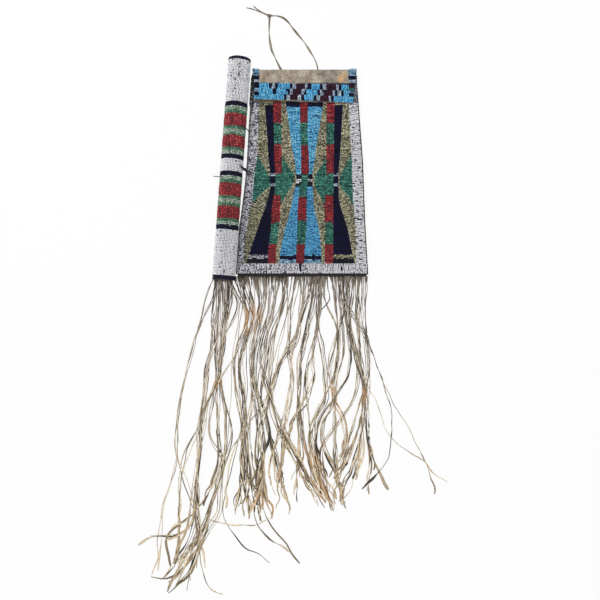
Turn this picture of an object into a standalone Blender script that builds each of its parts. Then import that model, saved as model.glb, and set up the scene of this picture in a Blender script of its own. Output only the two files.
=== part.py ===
"""A beaded hide pipe bag lying on its back, with a flap, a beaded side tube and a long cut fringe.

The beaded front looks up along +Z, the hanging thong points along +Y and the fringe lies along -Y.
The origin is the middle of the flat back, on the surface that the bag lies on. Sizes are in metres.
Places on the bag are given as (u, v): u runs from the left edge (0) to the right edge (1), and v runs
from the top fold (0) down to the bottom seam (1), so that a pattern follows the bag's outline.
"""

import math
import random

import bmesh
import bpy
import numpy as np
from mathutils import Matrix, Vector

# Bag of two hide panels
BAG_LENGTH = 0.254
TOP_WIDTH = 0.129
BOTTOM_WIDTH = 0.165
CENTRE_DRIFT = ((0.0, 0.0016), (0.45, 0.0021), (0.75, -0.0005), (1.0, -0.0013))
HIDE = 0.0014
POCKET = 0.0050
CLEARANCE = 0.0003
EDGE_ROLL = 0.0026
EDGE_BINDING = 0.0016

# Bead lanes, which arch like a row of bead strings sewn down at both ends
BEAD_HEIGHT = 0.0012
LANE_CROWN = 0.0006
RECESS_FLOOR = 0.0004

# Flap, folded over the front from the back
FLAP_LENGTH = 0.0390
BAND_TOP = 0.0177
BAND_LENGTH = 0.0193
BAND_ROWS = 3
FLAP_SIDE_LANE = 0.0066
FOLD_STEPS = 8

# The band's two figures: where their sides start along its top, and how far they slant to the left
FIGURE_SIDES = (0.386, 0.572, 0.651, 0.851)
FIGURE_SLANT = 0.079

# Beaded tube, which touches the left edge at the bottom and stands off it a little at the top
TUBE_RADIUS = 0.0138
TUBE_TOP_REACH = 0.0118
TUBE_FOOT_REACH = 0.0071
TUBE_TOP_GAP = 0.0030
TUBE_WALL = 0.0014
TUBE_BEAD = 0.0017
TUBE_BAND_DROP = 0.0002
TUBE_STANDOFF = 0.0001
TUBE_STEPS = 16

# Bands of the tube from its open top end down: name, colour, lanes side by side, share of the length
TUBE_BANDS = (
    ("tube_rim_top", "navy", 1, 0.0113),
    ("tube_white_top", "white", 4, 0.1886),
    ("sleeve_1", "sage", 1, 0.0530),
    ("tube_red_1", "red", 1, 0.0556),
    ("sleeve_2", "sage", 1, 0.0420),
    ("tube_red_2", "red", 1, 0.0541),
    ("sleeve_3", "sage", 1, 0.0512),
    ("tube_white_middle", "white", 1, 0.0574),
    ("sleeve_4", "sage", 1, 0.0523),
    ("tube_red_3", "red", 1, 0.0570),
    ("sleeve_5", "sage", 1, 0.0464),
    ("tube_red_4", "red", 1, 0.0552),
    ("sleeve_6", "sage", 1, 0.0493),
    ("tube_white_bottom", "white", 4, 0.2083),
    ("tube_rim_bottom", "navy", 1, 0.0183),
)

# Fringe, cut in strips from flat hide
FRINGE = 0.0011
STRAND_ROOT_WIDTH = 0.0030
STRAND_TIP_WIDTH = 0.0018
DROP_SEGMENTS = 3
LYING_SEGMENTS = 5
BAG_STRANDS = 14
TUBE_STRANDS = 7
ROOT_TUCK = 0.0080
ROOT_STRIP = 0.0030
BAG_DROP = 0.035
TUBE_DROP = 0.085
TUBE_ROOT_HALF_WIDTH = 0.0088

# How the strands lie: they leave the root straighter than they end, and sway from side to side
FRINGE_SEED = 7
ROOT_LEAN = 0.45
SWAY = 0.0035
SWAY_TURNS = 0.8
SWAY_STEP = 0.25
SWAY_END = 1.3
TIP_SPREAD = 0.008

# Layers of the fringe from the lowest up: name, and from the leftmost strand to the rightmost
# (share, how far the tip lies to the right of the root, how far it lies below it)
BAG_LAYERS = (
    ("bag_fringe_back", ((0.0, -0.008, 0.295), (0.5, -0.029, 0.303), (1.0, -0.025, 0.282))),
    ("bag_fringe_middle", ((0.0, 0.002, 0.300), (0.5, 0.001, 0.290), (1.0, 0.005, 0.268))),
    ("bag_fringe_front", ((0.0, 0.010, 0.290), (0.6, 0.020, 0.285), (0.75, 0.019, 0.272),
                          (0.82, 0.043, 0.268), (0.90, 0.088, 0.272), (0.96, 0.104, 0.259))),
)
TUBE_LAYERS = (
    ("tube_fringe_back", ((0.0, -0.103, 0.325), (0.3, -0.090, 0.371), (0.7, -0.075, 0.384),
                          (1.0, -0.050, 0.384))),
    ("tube_fringe_front", ((0.0, -0.054, 0.309), (0.5, -0.041, 0.363), (1.0, -0.022, 0.384))),
)

# Thong of narrow hide lace, as (x, reach beyond the top fold) from the bag to the knot
THONG_RADIUS = 0.0011
THONG_STEP = 0.0050
THONG_LEFT = ((-0.0300, 0.0065), (-0.0337, 0.0139), (-0.0394, 0.0263), (-0.0412, 0.0363),
              (-0.0424, 0.0488), (-0.0420, 0.0580), (-0.0419, 0.0647))
THONG_RIGHT = ((0.0181, 0.0064), (0.0138, 0.0163), (0.0075, 0.0263), (0.0025, 0.0344), (-0.0062, 0.0451),
               (-0.0124, 0.0525), (-0.0187, 0.0613), (-0.0249, 0.0663), (-0.0310, 0.0690),
               (-0.0378, 0.0690))
THONG_HOLES = (-0.0267, 0.0183)
KNOT_PLACE = (-0.0418, 0.0682)
KNOT_RADII = (0.0033, 0.0027, 0.0019)
TAIL_TIPS = {"thong_tail_long": (-0.0704, 0.0738), "thong_tail_short": (-0.0616, 0.0813)}
TAIL_ROOT_RADIUS = 0.0012
TAIL_TIP_RADIUS = 0.0010
TAIL_ROOT_LEVEL = 0.0015

# Ties between the tube and the bag's left edge: name, share of the length, turn round the tube
TIES = (("tie_upper", 0.29, math.radians(28)), ("tie_lower", 0.49, math.radians(34)))
TIE_RADIUS = 0.0007
TIE_STEP = 0.0022
TIE_ARCH = 0.0008
TIE_REACH = 0.0050
TIE_SLANT = 0.0030

# Levels above the surface the bag lies on
FRONT_BOTTOM = HIDE + POCKET
FRONT_TOP = FRONT_BOTTOM + HIDE
BEAD_BASE = FRONT_TOP + CLEARANCE
FLAP_BASE = FRONT_TOP + CLEARANCE
FLAP_TOP = FLAP_BASE + HIDE
FOLD_RADIUS = FLAP_TOP / 2
FOLD_Y = BAG_LENGTH / 2 - FOLD_RADIUS
FOLD_Z = FLAP_TOP / 2
FLAP_BEADS = FLAP_TOP + CLEARANCE

# Beaded field of the front, as shares of the bag's length
FIELD_TOP = (FLAP_LENGTH + CLEARANCE) / BAG_LENGTH
FIELD_BOTTOM = 0.948
DARK_TOP = 0.178
WAIST_TOP = 0.508
WAIST_BOTTOM = 0.616

# Lines between the colours on the left half of the front, as (v, u); the right half mirrors them
BORDER_LINE = ((0.0, 0.095), (0.46, 0.095), (0.54, 0.089), (0.67, 0.089), (0.78, 0.070), (1.0, 0.070))
OUTER_KHAKI_LINE = ((0.0, 0.130), (0.20, 0.151), (0.38, 0.181), (0.50, 0.210), (0.54, 0.216),
                    (0.59, 0.217), (0.67, 0.198), (0.78, 0.145), (0.88, 0.109), (1.0, 0.070))
BAR_OUTER_LINE = ((0.0, 0.200), (0.20, 0.222), (0.38, 0.242), (0.54, 0.254), (0.66, 0.254), (1.0, 0.252))
BAR_INNER_LINE = ((0.0, 0.292), (0.32, 0.298), (0.54, 0.312), (0.67, 0.319), (1.0, 0.313))
INNER_KHAKI_LINE = ((0.0, 0.296), (0.20, 0.341), (0.38, 0.394), (0.50, 0.429), (0.54, 0.434),
                    (0.59, 0.425), (0.67, 0.402), (0.78, 0.367), (0.88, 0.343), (1.0, 0.341))
CENTRE_BAR_LINE = ((0.0, 0.464), (0.46, 0.468), (0.54, 0.471), (0.67, 0.466), (1.0, 0.468))
OUTER_GREEN_SLOPES = ((0.415, "border"), (0.530, "neck"), (0.585, "neck"), (0.655, "border"))
INNER_GREEN_SLOPES = ((0.425, "bar"), (0.524, "neck"), (0.578, "neck"), (0.660, "bar"))
GREEN_BLOCKS = ((0.262, 0.364), (0.744, 0.850))
KHAKI_POINT = 0.012

COLOURS = {
    "hide": ((0.70, 0.65, 0.57), 0.85),
    "fringe_hide": ((0.55, 0.48, 0.38), 0.85),
    "white": ((0.78, 0.78, 0.82), 0.45),
    "navy": ((0.10, 0.09, 0.20), 0.40),
    "blue": ((0.36, 0.63, 0.86), 0.40),
    "green": ((0.13, 0.42, 0.36), 0.40),
    "red": ((0.60, 0.12, 0.15), 0.40),
    "khaki": ((0.60, 0.58, 0.44), 0.45),
    "sage": ((0.50, 0.62, 0.50), 0.45),
    "maroon": ((0.25, 0.08, 0.13), 0.40),
    "speckled": ((0.30, 0.30, 0.33), 0.45),
    "dark_lace": ((0.12, 0.09, 0.08), 0.80),
}


def clear_scene():
    """Remove every object of the open file."""
    for item in list(bpy.data.objects):
        bpy.data.objects.remove(item, do_unlink=True)


def new_collection(name):
    """Return a new collection linked to the scene."""
    collection = bpy.data.collections.new(name)
    bpy.context.scene.collection.children.link(collection)
    return collection


def material(name):
    """Return the Principled material of one of the bag's colours."""
    found = bpy.data.materials.get(name)
    if found:
        return found
    made = bpy.data.materials.new(name)
    made.use_nodes = True
    colour, roughness = COLOURS[name]
    shader = made.node_tree.nodes["Principled BSDF"]
    shader.inputs["Base Color"].default_value = (*colour, 1.0)
    shader.inputs["Roughness"].default_value = roughness
    shader.inputs["Metallic"].default_value = 0.0
    made.diffuse_color = (*colour, 1.0)
    return made


class Bag:
    """Adds the bag's pieces to its collections, each under the empty that carries it."""

    def __init__(self):
        self.pieces = new_collection("beaded_pipe_bag")
        self.cutters = new_collection("cutters")

    def anchor(self, name, matrix):
        """Add an empty that carries other pieces."""
        empty = bpy.data.objects.new(name, None)
        empty.matrix_world = matrix
        self.pieces.objects.link(empty)
        return empty

    def add(self, name, data, colour, parent=None, keep_world=True):
        """Add an object of a mesh or a curve in one of the bag's colours."""
        data.materials.append(material(colour))
        piece = bpy.data.objects.new(name, data)
        self.pieces.objects.link(piece)
        if parent:
            piece.parent = parent
            if keep_world:
                piece.matrix_parent_inverse = parent.matrix_world.inverted()
        return piece

    def cutter(self, name, data):
        """Add a guide that other pieces are joined with or cut by."""
        guide = bpy.data.objects.new(name, data)
        guide.hide_render = True
        guide.display_type = "WIRE"
        self.cutters.objects.link(guide)
        return guide


def along(line, v):
    """Read a line of (v, value) points at v."""
    return float(np.interp(v, [p[0] for p in line], [p[1] for p in line]))


def width_at(v):
    """Width of the bag at v, which grows evenly from the top to the bottom."""
    return TOP_WIDTH + (BOTTOM_WIDTH - TOP_WIDTH) * v


def bag_point(u, v):
    """Place (x, y) of a point on the bag's outline plan."""
    x = along(CENTRE_DRIFT, v) + (u - 0.5) * width_at(v)
    return x, BAG_LENGTH * (0.5 - v)


def panel_left(v):
    """Share of the width where the panels start, beside the left edge roll."""
    return (EDGE_ROLL + CLEARANCE) / width_at(v)


def panel_right(v):
    """Share of the width where the panels end, beside the right edge binding."""
    return 1 - (EDGE_BINDING + CLEARANCE) / width_at(v)


def v_of(y):
    """Share of the length at the height y."""
    return 0.5 - y / BAG_LENGTH


def mesh_from(bm, name, smooth=False):
    """Turn a bmesh into a mesh with its faces pointing out."""
    bmesh.ops.recalc_face_normals(bm, faces=bm.faces)
    mesh = bpy.data.meshes.new(name)
    bm.to_mesh(mesh)
    bm.free()
    if smooth:
        mesh.shade_smooth()
        mesh.set_sharp_from_angle(angle=math.radians(40))
    return mesh


def flat_rise(_across, _down):
    """Height share of a plain flat patch."""
    return 0.0


def lane_rise(across, _down):
    """Height share of one arched lane that runs down the bag."""
    return math.sin(math.pi * across)


def row_rise(_across, down):
    """Height share of the flap's arched rows, which run across it."""
    return abs(math.sin(math.pi * BAND_ROWS * down))


def slab(name, left, right, base, height, crown=0.0, rise=flat_rise, columns=1, floors=None):
    """Mesh of a closed slab between two edges of matching (x, y) points.

    The top is a grid from the left edge to the right edge, raised by the crown, its rim is drawn
    down to the base and the bottom is closed flat. floors gives the top's height at each point of
    the edges where it isn't the same all along.
    """
    stations = len(left)
    bm = bmesh.new()
    bmesh.ops.create_grid(bm, x_segments=columns, y_segments=stations - 1, size=0.5)
    for index, vert in enumerate(bm.verts):
        row, column = divmod(index, columns + 1)
        across = column / columns
        x = left[row][0] + (right[row][0] - left[row][0]) * across
        y = left[row][1] + (right[row][1] - left[row][1]) * across
        top = floors[row] if floors else height
        arch = crown if top >= height else 0.0
        vert.co = (x, y, base + top + arch * rise(across, row / (stations - 1)))
    rim = [edge for edge in bm.edges if edge.is_boundary]
    drawn = bmesh.ops.extrude_edge_only(bm, edges=rim)["geom"]
    for vert in (item for item in drawn if isinstance(item, bmesh.types.BMVert)):
        vert.co.z = base
    hem = [item for item in drawn if isinstance(item, bmesh.types.BMEdge) and item.is_boundary]
    bmesh.ops.contextual_create(bm, geom=hem)
    return mesh_from(bm, name, smooth=crown > 0)


def edge_points(outer, inner, stations, side):
    """Left and right edges of a field between two lines of shares, drawn in by half a clearance."""
    inset = CLEARANCE / 2
    left, right = [], []
    for v in stations:
        u_outer, u_inner = outer(v), inner(v)
        low, high = (u_outer, u_inner) if side == "left" else (1 - u_inner, 1 - u_outer)
        x_low, y = bag_point(low, v)
        x_high, _ = bag_point(high, v)
        left.append((x_low + inset, y))
        right.append((x_high - inset, y))
    top, bottom = left[0][1] - inset, left[-1][1] + inset
    for points in (left, right):
        points[0] = (points[0][0], top)
        points[-1] = (points[-1][0], bottom)
    return left, right


def stations_of(lines, start, stop):
    """Shares of the length where any of the lines bends, between start and stop."""
    bends = {v for line in lines for v, _ in line if start < v < stop}
    return sorted(bends | {start, stop})


def add_field(bag, name, colour, outer, inner, start, stop, side, columns=4, base=BEAD_BASE):
    """Add one arched field of beads between two lines of (v, u) points."""
    stations = stations_of((outer, inner), start, stop)
    left, right = edge_points(
        lambda v: along(outer, v), lambda v: along(inner, v), stations, side)
    height = BEAD_BASE + BEAD_HEIGHT - base
    mesh = slab(name, left, right, base, height, LANE_CROWN, lane_rise, columns)
    bag.add(name, mesh, colour)


def slope_line(slopes, low_line, high_line):
    """Line of the sloping side of a green waist field, between the lines of its ends."""
    return tuple(
        (v, along(high_line, v) if end == "neck" else along(low_line, v)) for v, end in slopes)


def khaki_edge(slopes, low_line, high_line):
    """Edge of the khaki that follows the green field's slope, and the plain line beyond it."""
    sloped = slope_line(slopes, low_line, high_line)
    before = tuple(p for p in low_line if p[0] < slopes[0][0])
    after = tuple(p for p in low_line if p[0] > slopes[-1][0])
    return before + sloped + after


def add_panels(bag):
    """Add the back and front panels, which leave a pocket between them."""
    top = v_of(FOLD_Y - CLEARANCE)
    stations = sorted({top, 1.0} | {v for v, _ in CENTRE_DRIFT if top < v < 1.0})
    left = [bag_point(panel_left(v), v) for v in stations]
    right = [bag_point(panel_right(v), v) for v in stations]
    bag.add("back_panel", slab("back_panel", left, right, 0.0, HIDE), "hide")
    bag.add("front_panel", slab("front_panel", left, right, FRONT_BOTTOM, HIDE), "hide")


def add_edge(bag, name, colour, side, thickness):
    """Add the wall that closes one side, a round-edged strip that follows the outline."""
    radius = thickness / 2
    top = v_of(FOLD_Y - CLEARANCE)
    stations = sorted({top, 1.0} | {v for v, _ in CENTRE_DRIFT if top < v < 1.0})
    curve = bpy.data.curves.new(name, "CURVE")
    curve.dimensions = "3D"
    curve.twist_mode = "Z_UP"
    curve.extrude = FRONT_TOP / 2 - radius
    curve.bevel_depth = radius
    curve.bevel_resolution = 2
    curve.use_fill_caps = True
    spline = curve.splines.new("POLY")
    spline.points.add(len(stations) - 1)
    for point, v in zip(spline.points, stations):
        x, y = bag_point(0.0 if side == "left" else 1.0, v)
        point.co = (x + radius if side == "left" else x - radius, y, FRONT_TOP / 2, 1.0)
    bag.add(name, curve, colour)


def add_border(bag):
    """Add the white lane that runs down the left side, along the bottom and up the right side."""
    sides = stations_of((BORDER_LINE,), FIELD_TOP, FIELD_BOTTOM)
    inset = CLEARANCE / 2
    outer_bottom = 1.0 - inset / BAG_LENGTH
    inner, outer = [], []
    for v in sides:
        x_in, y_in = bag_point(along(BORDER_LINE, v), v)
        x_out, y_out = bag_point(panel_left(v), v)
        inner.append((x_in - inset, y_in))
        outer.append((x_out + inset, y_out))
    inner[-1] = (inner[-1][0], inner[-1][1] - inset)
    outer[-1] = bag_point(panel_left(outer_bottom), outer_bottom)
    for v in reversed(sides):
        x_in, y_in = bag_point(1 - along(BORDER_LINE, v), v)
        x_out, y_out = bag_point(panel_right(v), v)
        inner.append((x_in + inset, y_in))
        outer.append((x_out - inset, y_out))
    turn = len(sides)
    inner[turn] = (inner[turn][0], inner[turn][1] - inset)
    outer[turn] = bag_point(panel_right(outer_bottom), outer_bottom)
    mesh = slab("white_border", outer, inner, BEAD_BASE, BEAD_HEIGHT, LANE_CROWN, lane_rise, 2)
    bag.add("white_border", mesh, "white")


def add_khaki(bag, side):
    """Add the khaki bands that curve in to the waist and out again on one half."""
    outer = khaki_edge(OUTER_GREEN_SLOPES, BORDER_LINE, OUTER_KHAKI_LINE)
    inner = khaki_edge(INNER_GREEN_SLOPES, BAR_INNER_LINE, INNER_KHAKI_LINE)
    parts = (
        ("outer", outer, OUTER_KHAKI_LINE, OUTER_GREEN_SLOPES),
        ("inner", inner, INNER_KHAKI_LINE, INNER_GREEN_SLOPES),
    )
    for place, low, high, slopes in parts:
        ends = {
            "upper": (FIELD_TOP, slopes[1][0] - KHAKI_POINT),
            "lower": (slopes[2][0] + KHAKI_POINT, FIELD_BOTTOM),
        }
        for level, (start, stop) in ends.items():
            name = f"khaki_{place}_{side}_{level}"
            add_field(bag, name, "khaki", low, high, start, stop, side, 2)


def add_hourglasses(bag, side):
    """Add the navy and the blue field of one half, each pinched at the waist."""
    add_field(bag, f"navy_{side}", "navy", OUTER_KHAKI_LINE, BAR_OUTER_LINE, DARK_TOP, FIELD_BOTTOM, side)
    add_field(bag, f"blue_{side}", "blue", INNER_KHAKI_LINE, CENTRE_BAR_LINE, DARK_TOP, FIELD_BOTTOM, side)


def mirrored(line):
    """The same line measured from the other edge."""
    return tuple((v, 1 - u) for v, u in line)


def bar_lines(place):
    """Left and right line of a bar, measured from the left edge."""
    if place == "left":
        return BAR_OUTER_LINE, BAR_INNER_LINE
    if place == "right":
        return mirrored(BAR_INNER_LINE), mirrored(BAR_OUTER_LINE)
    return CENTRE_BAR_LINE, mirrored(CENTRE_BAR_LINE)


def add_bar(bag, place):
    """Add one red bar and the green blocks that lie in its recesses."""
    low, high = bar_lines(place)
    waist = (WAIST_TOP, WAIST_BOTTOM)
    recesses = (GREEN_BLOCKS[0], waist, GREEN_BLOCKS[1])
    wall = CLEARANCE / BAG_LENGTH
    stations, floors = [FIELD_TOP], [BEAD_HEIGHT]
    for start, stop in recesses:
        stations += [start - wall, start, stop, stop + wall]
        floors += [BEAD_HEIGHT, RECESS_FLOOR, RECESS_FLOOR, BEAD_HEIGHT]
    stations.append(FIELD_BOTTOM)
    floors.append(BEAD_HEIGHT)
    left, right = edge_points(lambda v: along(low, v), lambda v: along(high, v), stations, "left")
    mesh = slab(f"bar_{place}", left, right, BEAD_BASE, BEAD_HEIGHT, LANE_CROWN, lane_rise, 2, floors)
    bag.add(f"bar_{place}", mesh, "red")
    blocks = {"upper": GREEN_BLOCKS[0], "lower": GREEN_BLOCKS[1]}
    if place == "centre":
        blocks["waist"] = waist
    base = BEAD_BASE + RECESS_FLOOR + CLEARANCE
    for level, (start, stop) in blocks.items():
        add_field(bag, f"green_{place}_{level}", "green", low, high, start + wall, stop - wall, "left",
                  2, base)


def add_outline(bag, name, colour, points, base, height):
    """Add a flat-topped field cut to an outline of (u, v) points."""
    curve = bpy.data.curves.new(name, "CURVE")
    curve.dimensions = "2D"
    curve.fill_mode = "BOTH"
    curve.extrude = height / 2
    spline = curve.splines.new("POLY")
    spline.points.add(len(points) - 1)
    for point, (u, v) in zip(spline.points, points):
        point.co = (*bag_point(u, v), 0.0, 1.0)
    spline.use_cyclic_u = True
    piece = bag.add(name, curve, colour)
    piece.location.z = base + height / 2


def drawn_in(slopes, low_line, high_line):
    """Corners of a green field's sloping side, kept half a clearance off the neighbours."""
    corners = []
    middle = (slopes[0][0] + slopes[-1][0]) / 2
    for v, end in slopes:
        share = CLEARANCE / width_at(v)
        u = along(high_line, v) - share if end == "neck" else along(low_line, v) + share
        pull = 2 * CLEARANCE / BAG_LENGTH
        v = v + pull if v < middle else v - pull
        corners.append((u, v))
    return corners


def add_green_waist(bag, side):
    """Add the outer and inner green field at the waist of one half."""
    outer = drawn_in(OUTER_GREEN_SLOPES, BORDER_LINE, OUTER_KHAKI_LINE)
    inner = drawn_in(INNER_GREEN_SLOPES, BAR_INNER_LINE, INNER_KHAKI_LINE)
    wall = 2 * CLEARANCE / BAG_LENGTH
    share = CLEARANCE / width_at(WAIST_BOTTOM)
    arm = [
        (along(BAR_INNER_LINE, WAIST_BOTTOM) + share, WAIST_BOTTOM - wall),
        (along(BAR_OUTER_LINE, WAIST_BOTTOM) + share, WAIST_BOTTOM - wall),
        (along(BAR_OUTER_LINE, WAIST_TOP) + share, WAIST_TOP + wall),
        (along(BAR_INNER_LINE, WAIST_TOP) + share, WAIST_TOP + wall),
    ]
    base = BEAD_BASE + RECESS_FLOOR + CLEARANCE
    top = BEAD_BASE + BEAD_HEIGHT + LANE_CROWN / 2
    for name, points, low in (("outer", outer, BEAD_BASE), ("inner", inner + arm, base)):
        if side == "right":
            points = [(1 - u, v) for u, v in points]
        add_outline(bag, f"green_{name}_{side}", "green", points, low, top - low)


def add_front(bag):
    """Add every field of beadwork on the front."""
    add_border(bag)
    for side in ("left", "right"):
        add_khaki(bag, side)
        add_hourglasses(bag, side)
        add_green_waist(bag, side)
    for place in ("left", "centre", "right"):
        add_bar(bag, place)


def add_fold(bag):
    """Add the bare hide that turns over the top from the back to the flap, a half-round strip."""
    v = v_of(FOLD_Y)
    middle = FOLD_RADIUS - HIDE / 2
    x_left, _ = bag_point(panel_left(v), v)
    x_right, _ = bag_point(panel_right(v), v)
    bm = bmesh.new()
    bmesh.ops.create_grid(bm, x_segments=1, y_segments=FOLD_STEPS, size=0.5)
    for index, vert in enumerate(bm.verts):
        row, column = divmod(index, 2)
        angle = math.pi * (0.5 - row / FOLD_STEPS)
        x = x_right if column else x_left
        vert.co = (x, FOLD_Y + middle * math.cos(angle), FOLD_Z + middle * math.sin(angle))
    piece = bag.add("flap_fold", mesh_from(bm, "flap_fold", smooth=True), "hide")
    wall = piece.modifiers.new("hide", "SOLIDIFY")
    wall.thickness = HIDE
    wall.offset = 0.0
    wall.use_even_offset = True


def flap_edges(low, high, stations):
    """Left and right edge points of a strip of the flap, from shares of the width."""
    inset = CLEARANCE / 2
    left = [(bag_point(low(v), v)[0] + inset, bag_point(low(v), v)[1]) for v in stations]
    right = [(bag_point(high(v), v)[0] - inset, bag_point(high(v), v)[1]) for v in stations]
    return left, right


def add_flap(bag):
    """Add the flap that turns on the top fold, with its beaded band and two side lanes."""
    hinge = bag.anchor("flap_hinge", Matrix.Translation((0.0, FOLD_Y, FOLD_Z)))
    top = v_of(FOLD_Y - CLEARANCE)
    bottom = FLAP_LENGTH / BAG_LENGTH
    left, right = flap_edges(panel_left, panel_right, (top, bottom))
    bag.add("flap_hide", slab("flap_hide", left, right, FLAP_BASE, HIDE), "hide", hinge)

    lane_end = bottom - CLEARANCE / BAG_LENGTH
    lanes = {
        "flap_lane_left": (panel_left, lambda v: panel_left(v) + FLAP_SIDE_LANE / width_at(v)),
        "flap_lane_right": (lambda v: panel_right(v) - FLAP_SIDE_LANE / width_at(v), panel_right),
    }
    for name, (low, high) in lanes.items():
        left, right = flap_edges(low, high, (top, lane_end))
        mesh = slab(name, left, right, FLAP_BEADS, BEAD_HEIGHT, LANE_CROWN, lane_rise, 4)
        bag.add(name, mesh, "navy", hinge)
    add_flap_band(bag, hinge)


def add_flap_band(bag, hinge):
    """Add the band of three bead rows with its two slanting figures."""
    start = BAND_TOP / BAG_LENGTH
    stop = (BAND_TOP + BAND_LENGTH) / BAG_LENGTH
    rows = [start + (stop - start) * k / (2 * BAND_ROWS) for k in range(2 * BAND_ROWS + 1)]
    lane = FLAP_SIDE_LANE + CLEARANCE / 2

    def beside_left_lane(v):
        """Line beside the left side lane."""
        return panel_left(v) + lane / width_at(v)

    def beside_right_lane(v):
        """Line beside the right side lane."""
        return panel_right(v) - lane / width_at(v)

    def slanted(u):
        """Line that runs down to the left from the share u at the top of the band."""
        return lambda v: u - FIGURE_SLANT * (v - start) / (stop - start)

    lines = [beside_left_lane] + [slanted(u) for u in FIGURE_SIDES] + [beside_right_lane]
    names = ("flap_band_left", "flap_figure_left", "flap_band_middle", "flap_figure_right",
             "flap_band_right")
    for name, low, high in zip(names, lines, lines[1:]):
        left, right = flap_edges(low, high, rows)
        mesh = slab(name, left, right, FLAP_BEADS, BEAD_HEIGHT, LANE_CROWN, row_rise, 1)
        bag.add(name, mesh, "maroon" if "figure" in name else "blue", hinge)


def tube_placed():
    """Half length of the tube and its matrix: its own z runs from its middle up to the open top end."""
    foot_x, foot_y = bag_point(0.0, 1.0)
    top_x, top_y = bag_point(0.0, 0.0)
    lean = math.atan2(top_x - TUBE_TOP_GAP - foot_x, top_y - foot_y)
    axis = Vector((math.sin(lean), math.cos(lean), 0.0))
    reach = math.sqrt(TUBE_RADIUS ** 2 - (TUBE_RADIUS - FRONT_TOP) ** 2)
    beside = Vector((foot_x - (reach + TUBE_STANDOFF) / axis.y, foot_y, TUBE_RADIUS))
    top = beside + axis * ((BAG_LENGTH + TUBE_TOP_REACH) / axis.y)
    foot = beside - axis * (TUBE_FOOT_REACH / axis.y)
    across = Vector((0.0, 0.0, -1.0))
    turn = Matrix((across, axis.cross(across), axis)).transposed().to_4x4()
    return (top - foot).length / 2, Matrix.Translation((top + foot) / 2) @ turn


def crowned(top, bottom, lanes, edge_radius, crest_radius):
    """Profile points of lanes side by side, down the outside from top to bottom."""
    points = []
    lane = (top - bottom) / lanes
    for k in range(lanes):
        start = top - lane * k
        points.append((edge_radius, start))
        points.append((crest_radius, start - lane / 2))
    points.append((edge_radius, bottom))
    return points


def turned(bag, name, colour, profile, axle):
    """Add a ring turned about the tube's axis from a closed profile of (radius, height) points."""
    bm = bmesh.new()
    verts = [bm.verts.new((radius, 0.0, height)) for radius, height in profile]
    for first, second in zip(verts, verts[1:] + verts[:1]):
        bm.edges.new((first, second))
    mesh = bpy.data.meshes.new(name)
    bm.to_mesh(mesh)
    bm.free()
    piece = bag.add(name, mesh, colour, axle, keep_world=False)
    screw = piece.modifiers.new("turn", "SCREW")
    screw.steps = TUBE_STEPS
    screw.render_steps = TUBE_STEPS
    screw.use_merge_vertices = True
    screw.merge_threshold = 0.00001
    screw.use_smooth_shade = True


def add_tube(bag):
    """Add the hide sleeve with its sage lanes and the coloured bead rings seated round it."""
    half, frame = tube_placed()
    axle = bag.anchor("tube_axis", frame)
    inset = CLEARANCE / 2
    ring_crest = TUBE_RADIUS - TUBE_BAND_DROP
    seat = TUBE_RADIUS - LANE_CROWN - TUBE_BEAD + CLEARANCE
    bore = seat - TUBE_WALL
    height = half
    sleeve = [(seat, height)]
    for name, colour, lanes, share in TUBE_BANDS:
        end = height - 2 * half * share / sum(band[3] for band in TUBE_BANDS)
        top, bottom = height - inset, end + inset
        if name.startswith("sleeve"):
            lane = crowned(top, bottom, lanes, TUBE_RADIUS - LANE_CROWN, TUBE_RADIUS)
            sleeve += [(seat, top)] + lane + [(seat, bottom)]
        else:
            ring = crowned(top, bottom, lanes, ring_crest - LANE_CROWN, ring_crest)
            ring += [(seat + CLEARANCE, bottom), (seat + CLEARANCE, top)]
            turned(bag, name, colour, ring, axle)
        height = end
    sleeve += [(seat, -half), (bore, -half), (bore, half)]
    turned(bag, "tube_sleeve", "sage", sleeve, axle)


def smooth_route(points, step):
    """Points every step along one smooth curve through the route's own points."""
    ends = [points[0] * 2 - points[1]] + points + [points[-1] * 2 - points[-2]]
    fine = []
    for a, b, c, d in zip(ends, ends[1:], ends[2:], ends[3:]):
        pieces = max(1, round((c - b).length / step))
        for k in range(pieces):
            t = k / pieces
            fine.append(0.5 * (
                2 * b + (c - a) * t + (2 * a - 5 * b + 4 * c - d) * t ** 2
                + (3 * b - a - 3 * c + d) * t ** 3))
    fine.append(points[-1])
    return fine


def add_lace(bag, name, colour, route, radius, step):
    """Add a round lace along a smooth route."""
    curve = bpy.data.curves.new(name, "CURVE")
    curve.dimensions = "3D"
    curve.bevel_depth = radius
    curve.bevel_resolution = 2
    curve.use_fill_caps = True
    path = smooth_route([Vector(p) for p in route], step)
    spline = curve.splines.new("POLY")
    spline.points.add(len(path) - 1)
    for point, place in zip(spline.points, path):
        point.co = (*place, 1.0)
    return bag.add(name, curve, colour)


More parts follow.
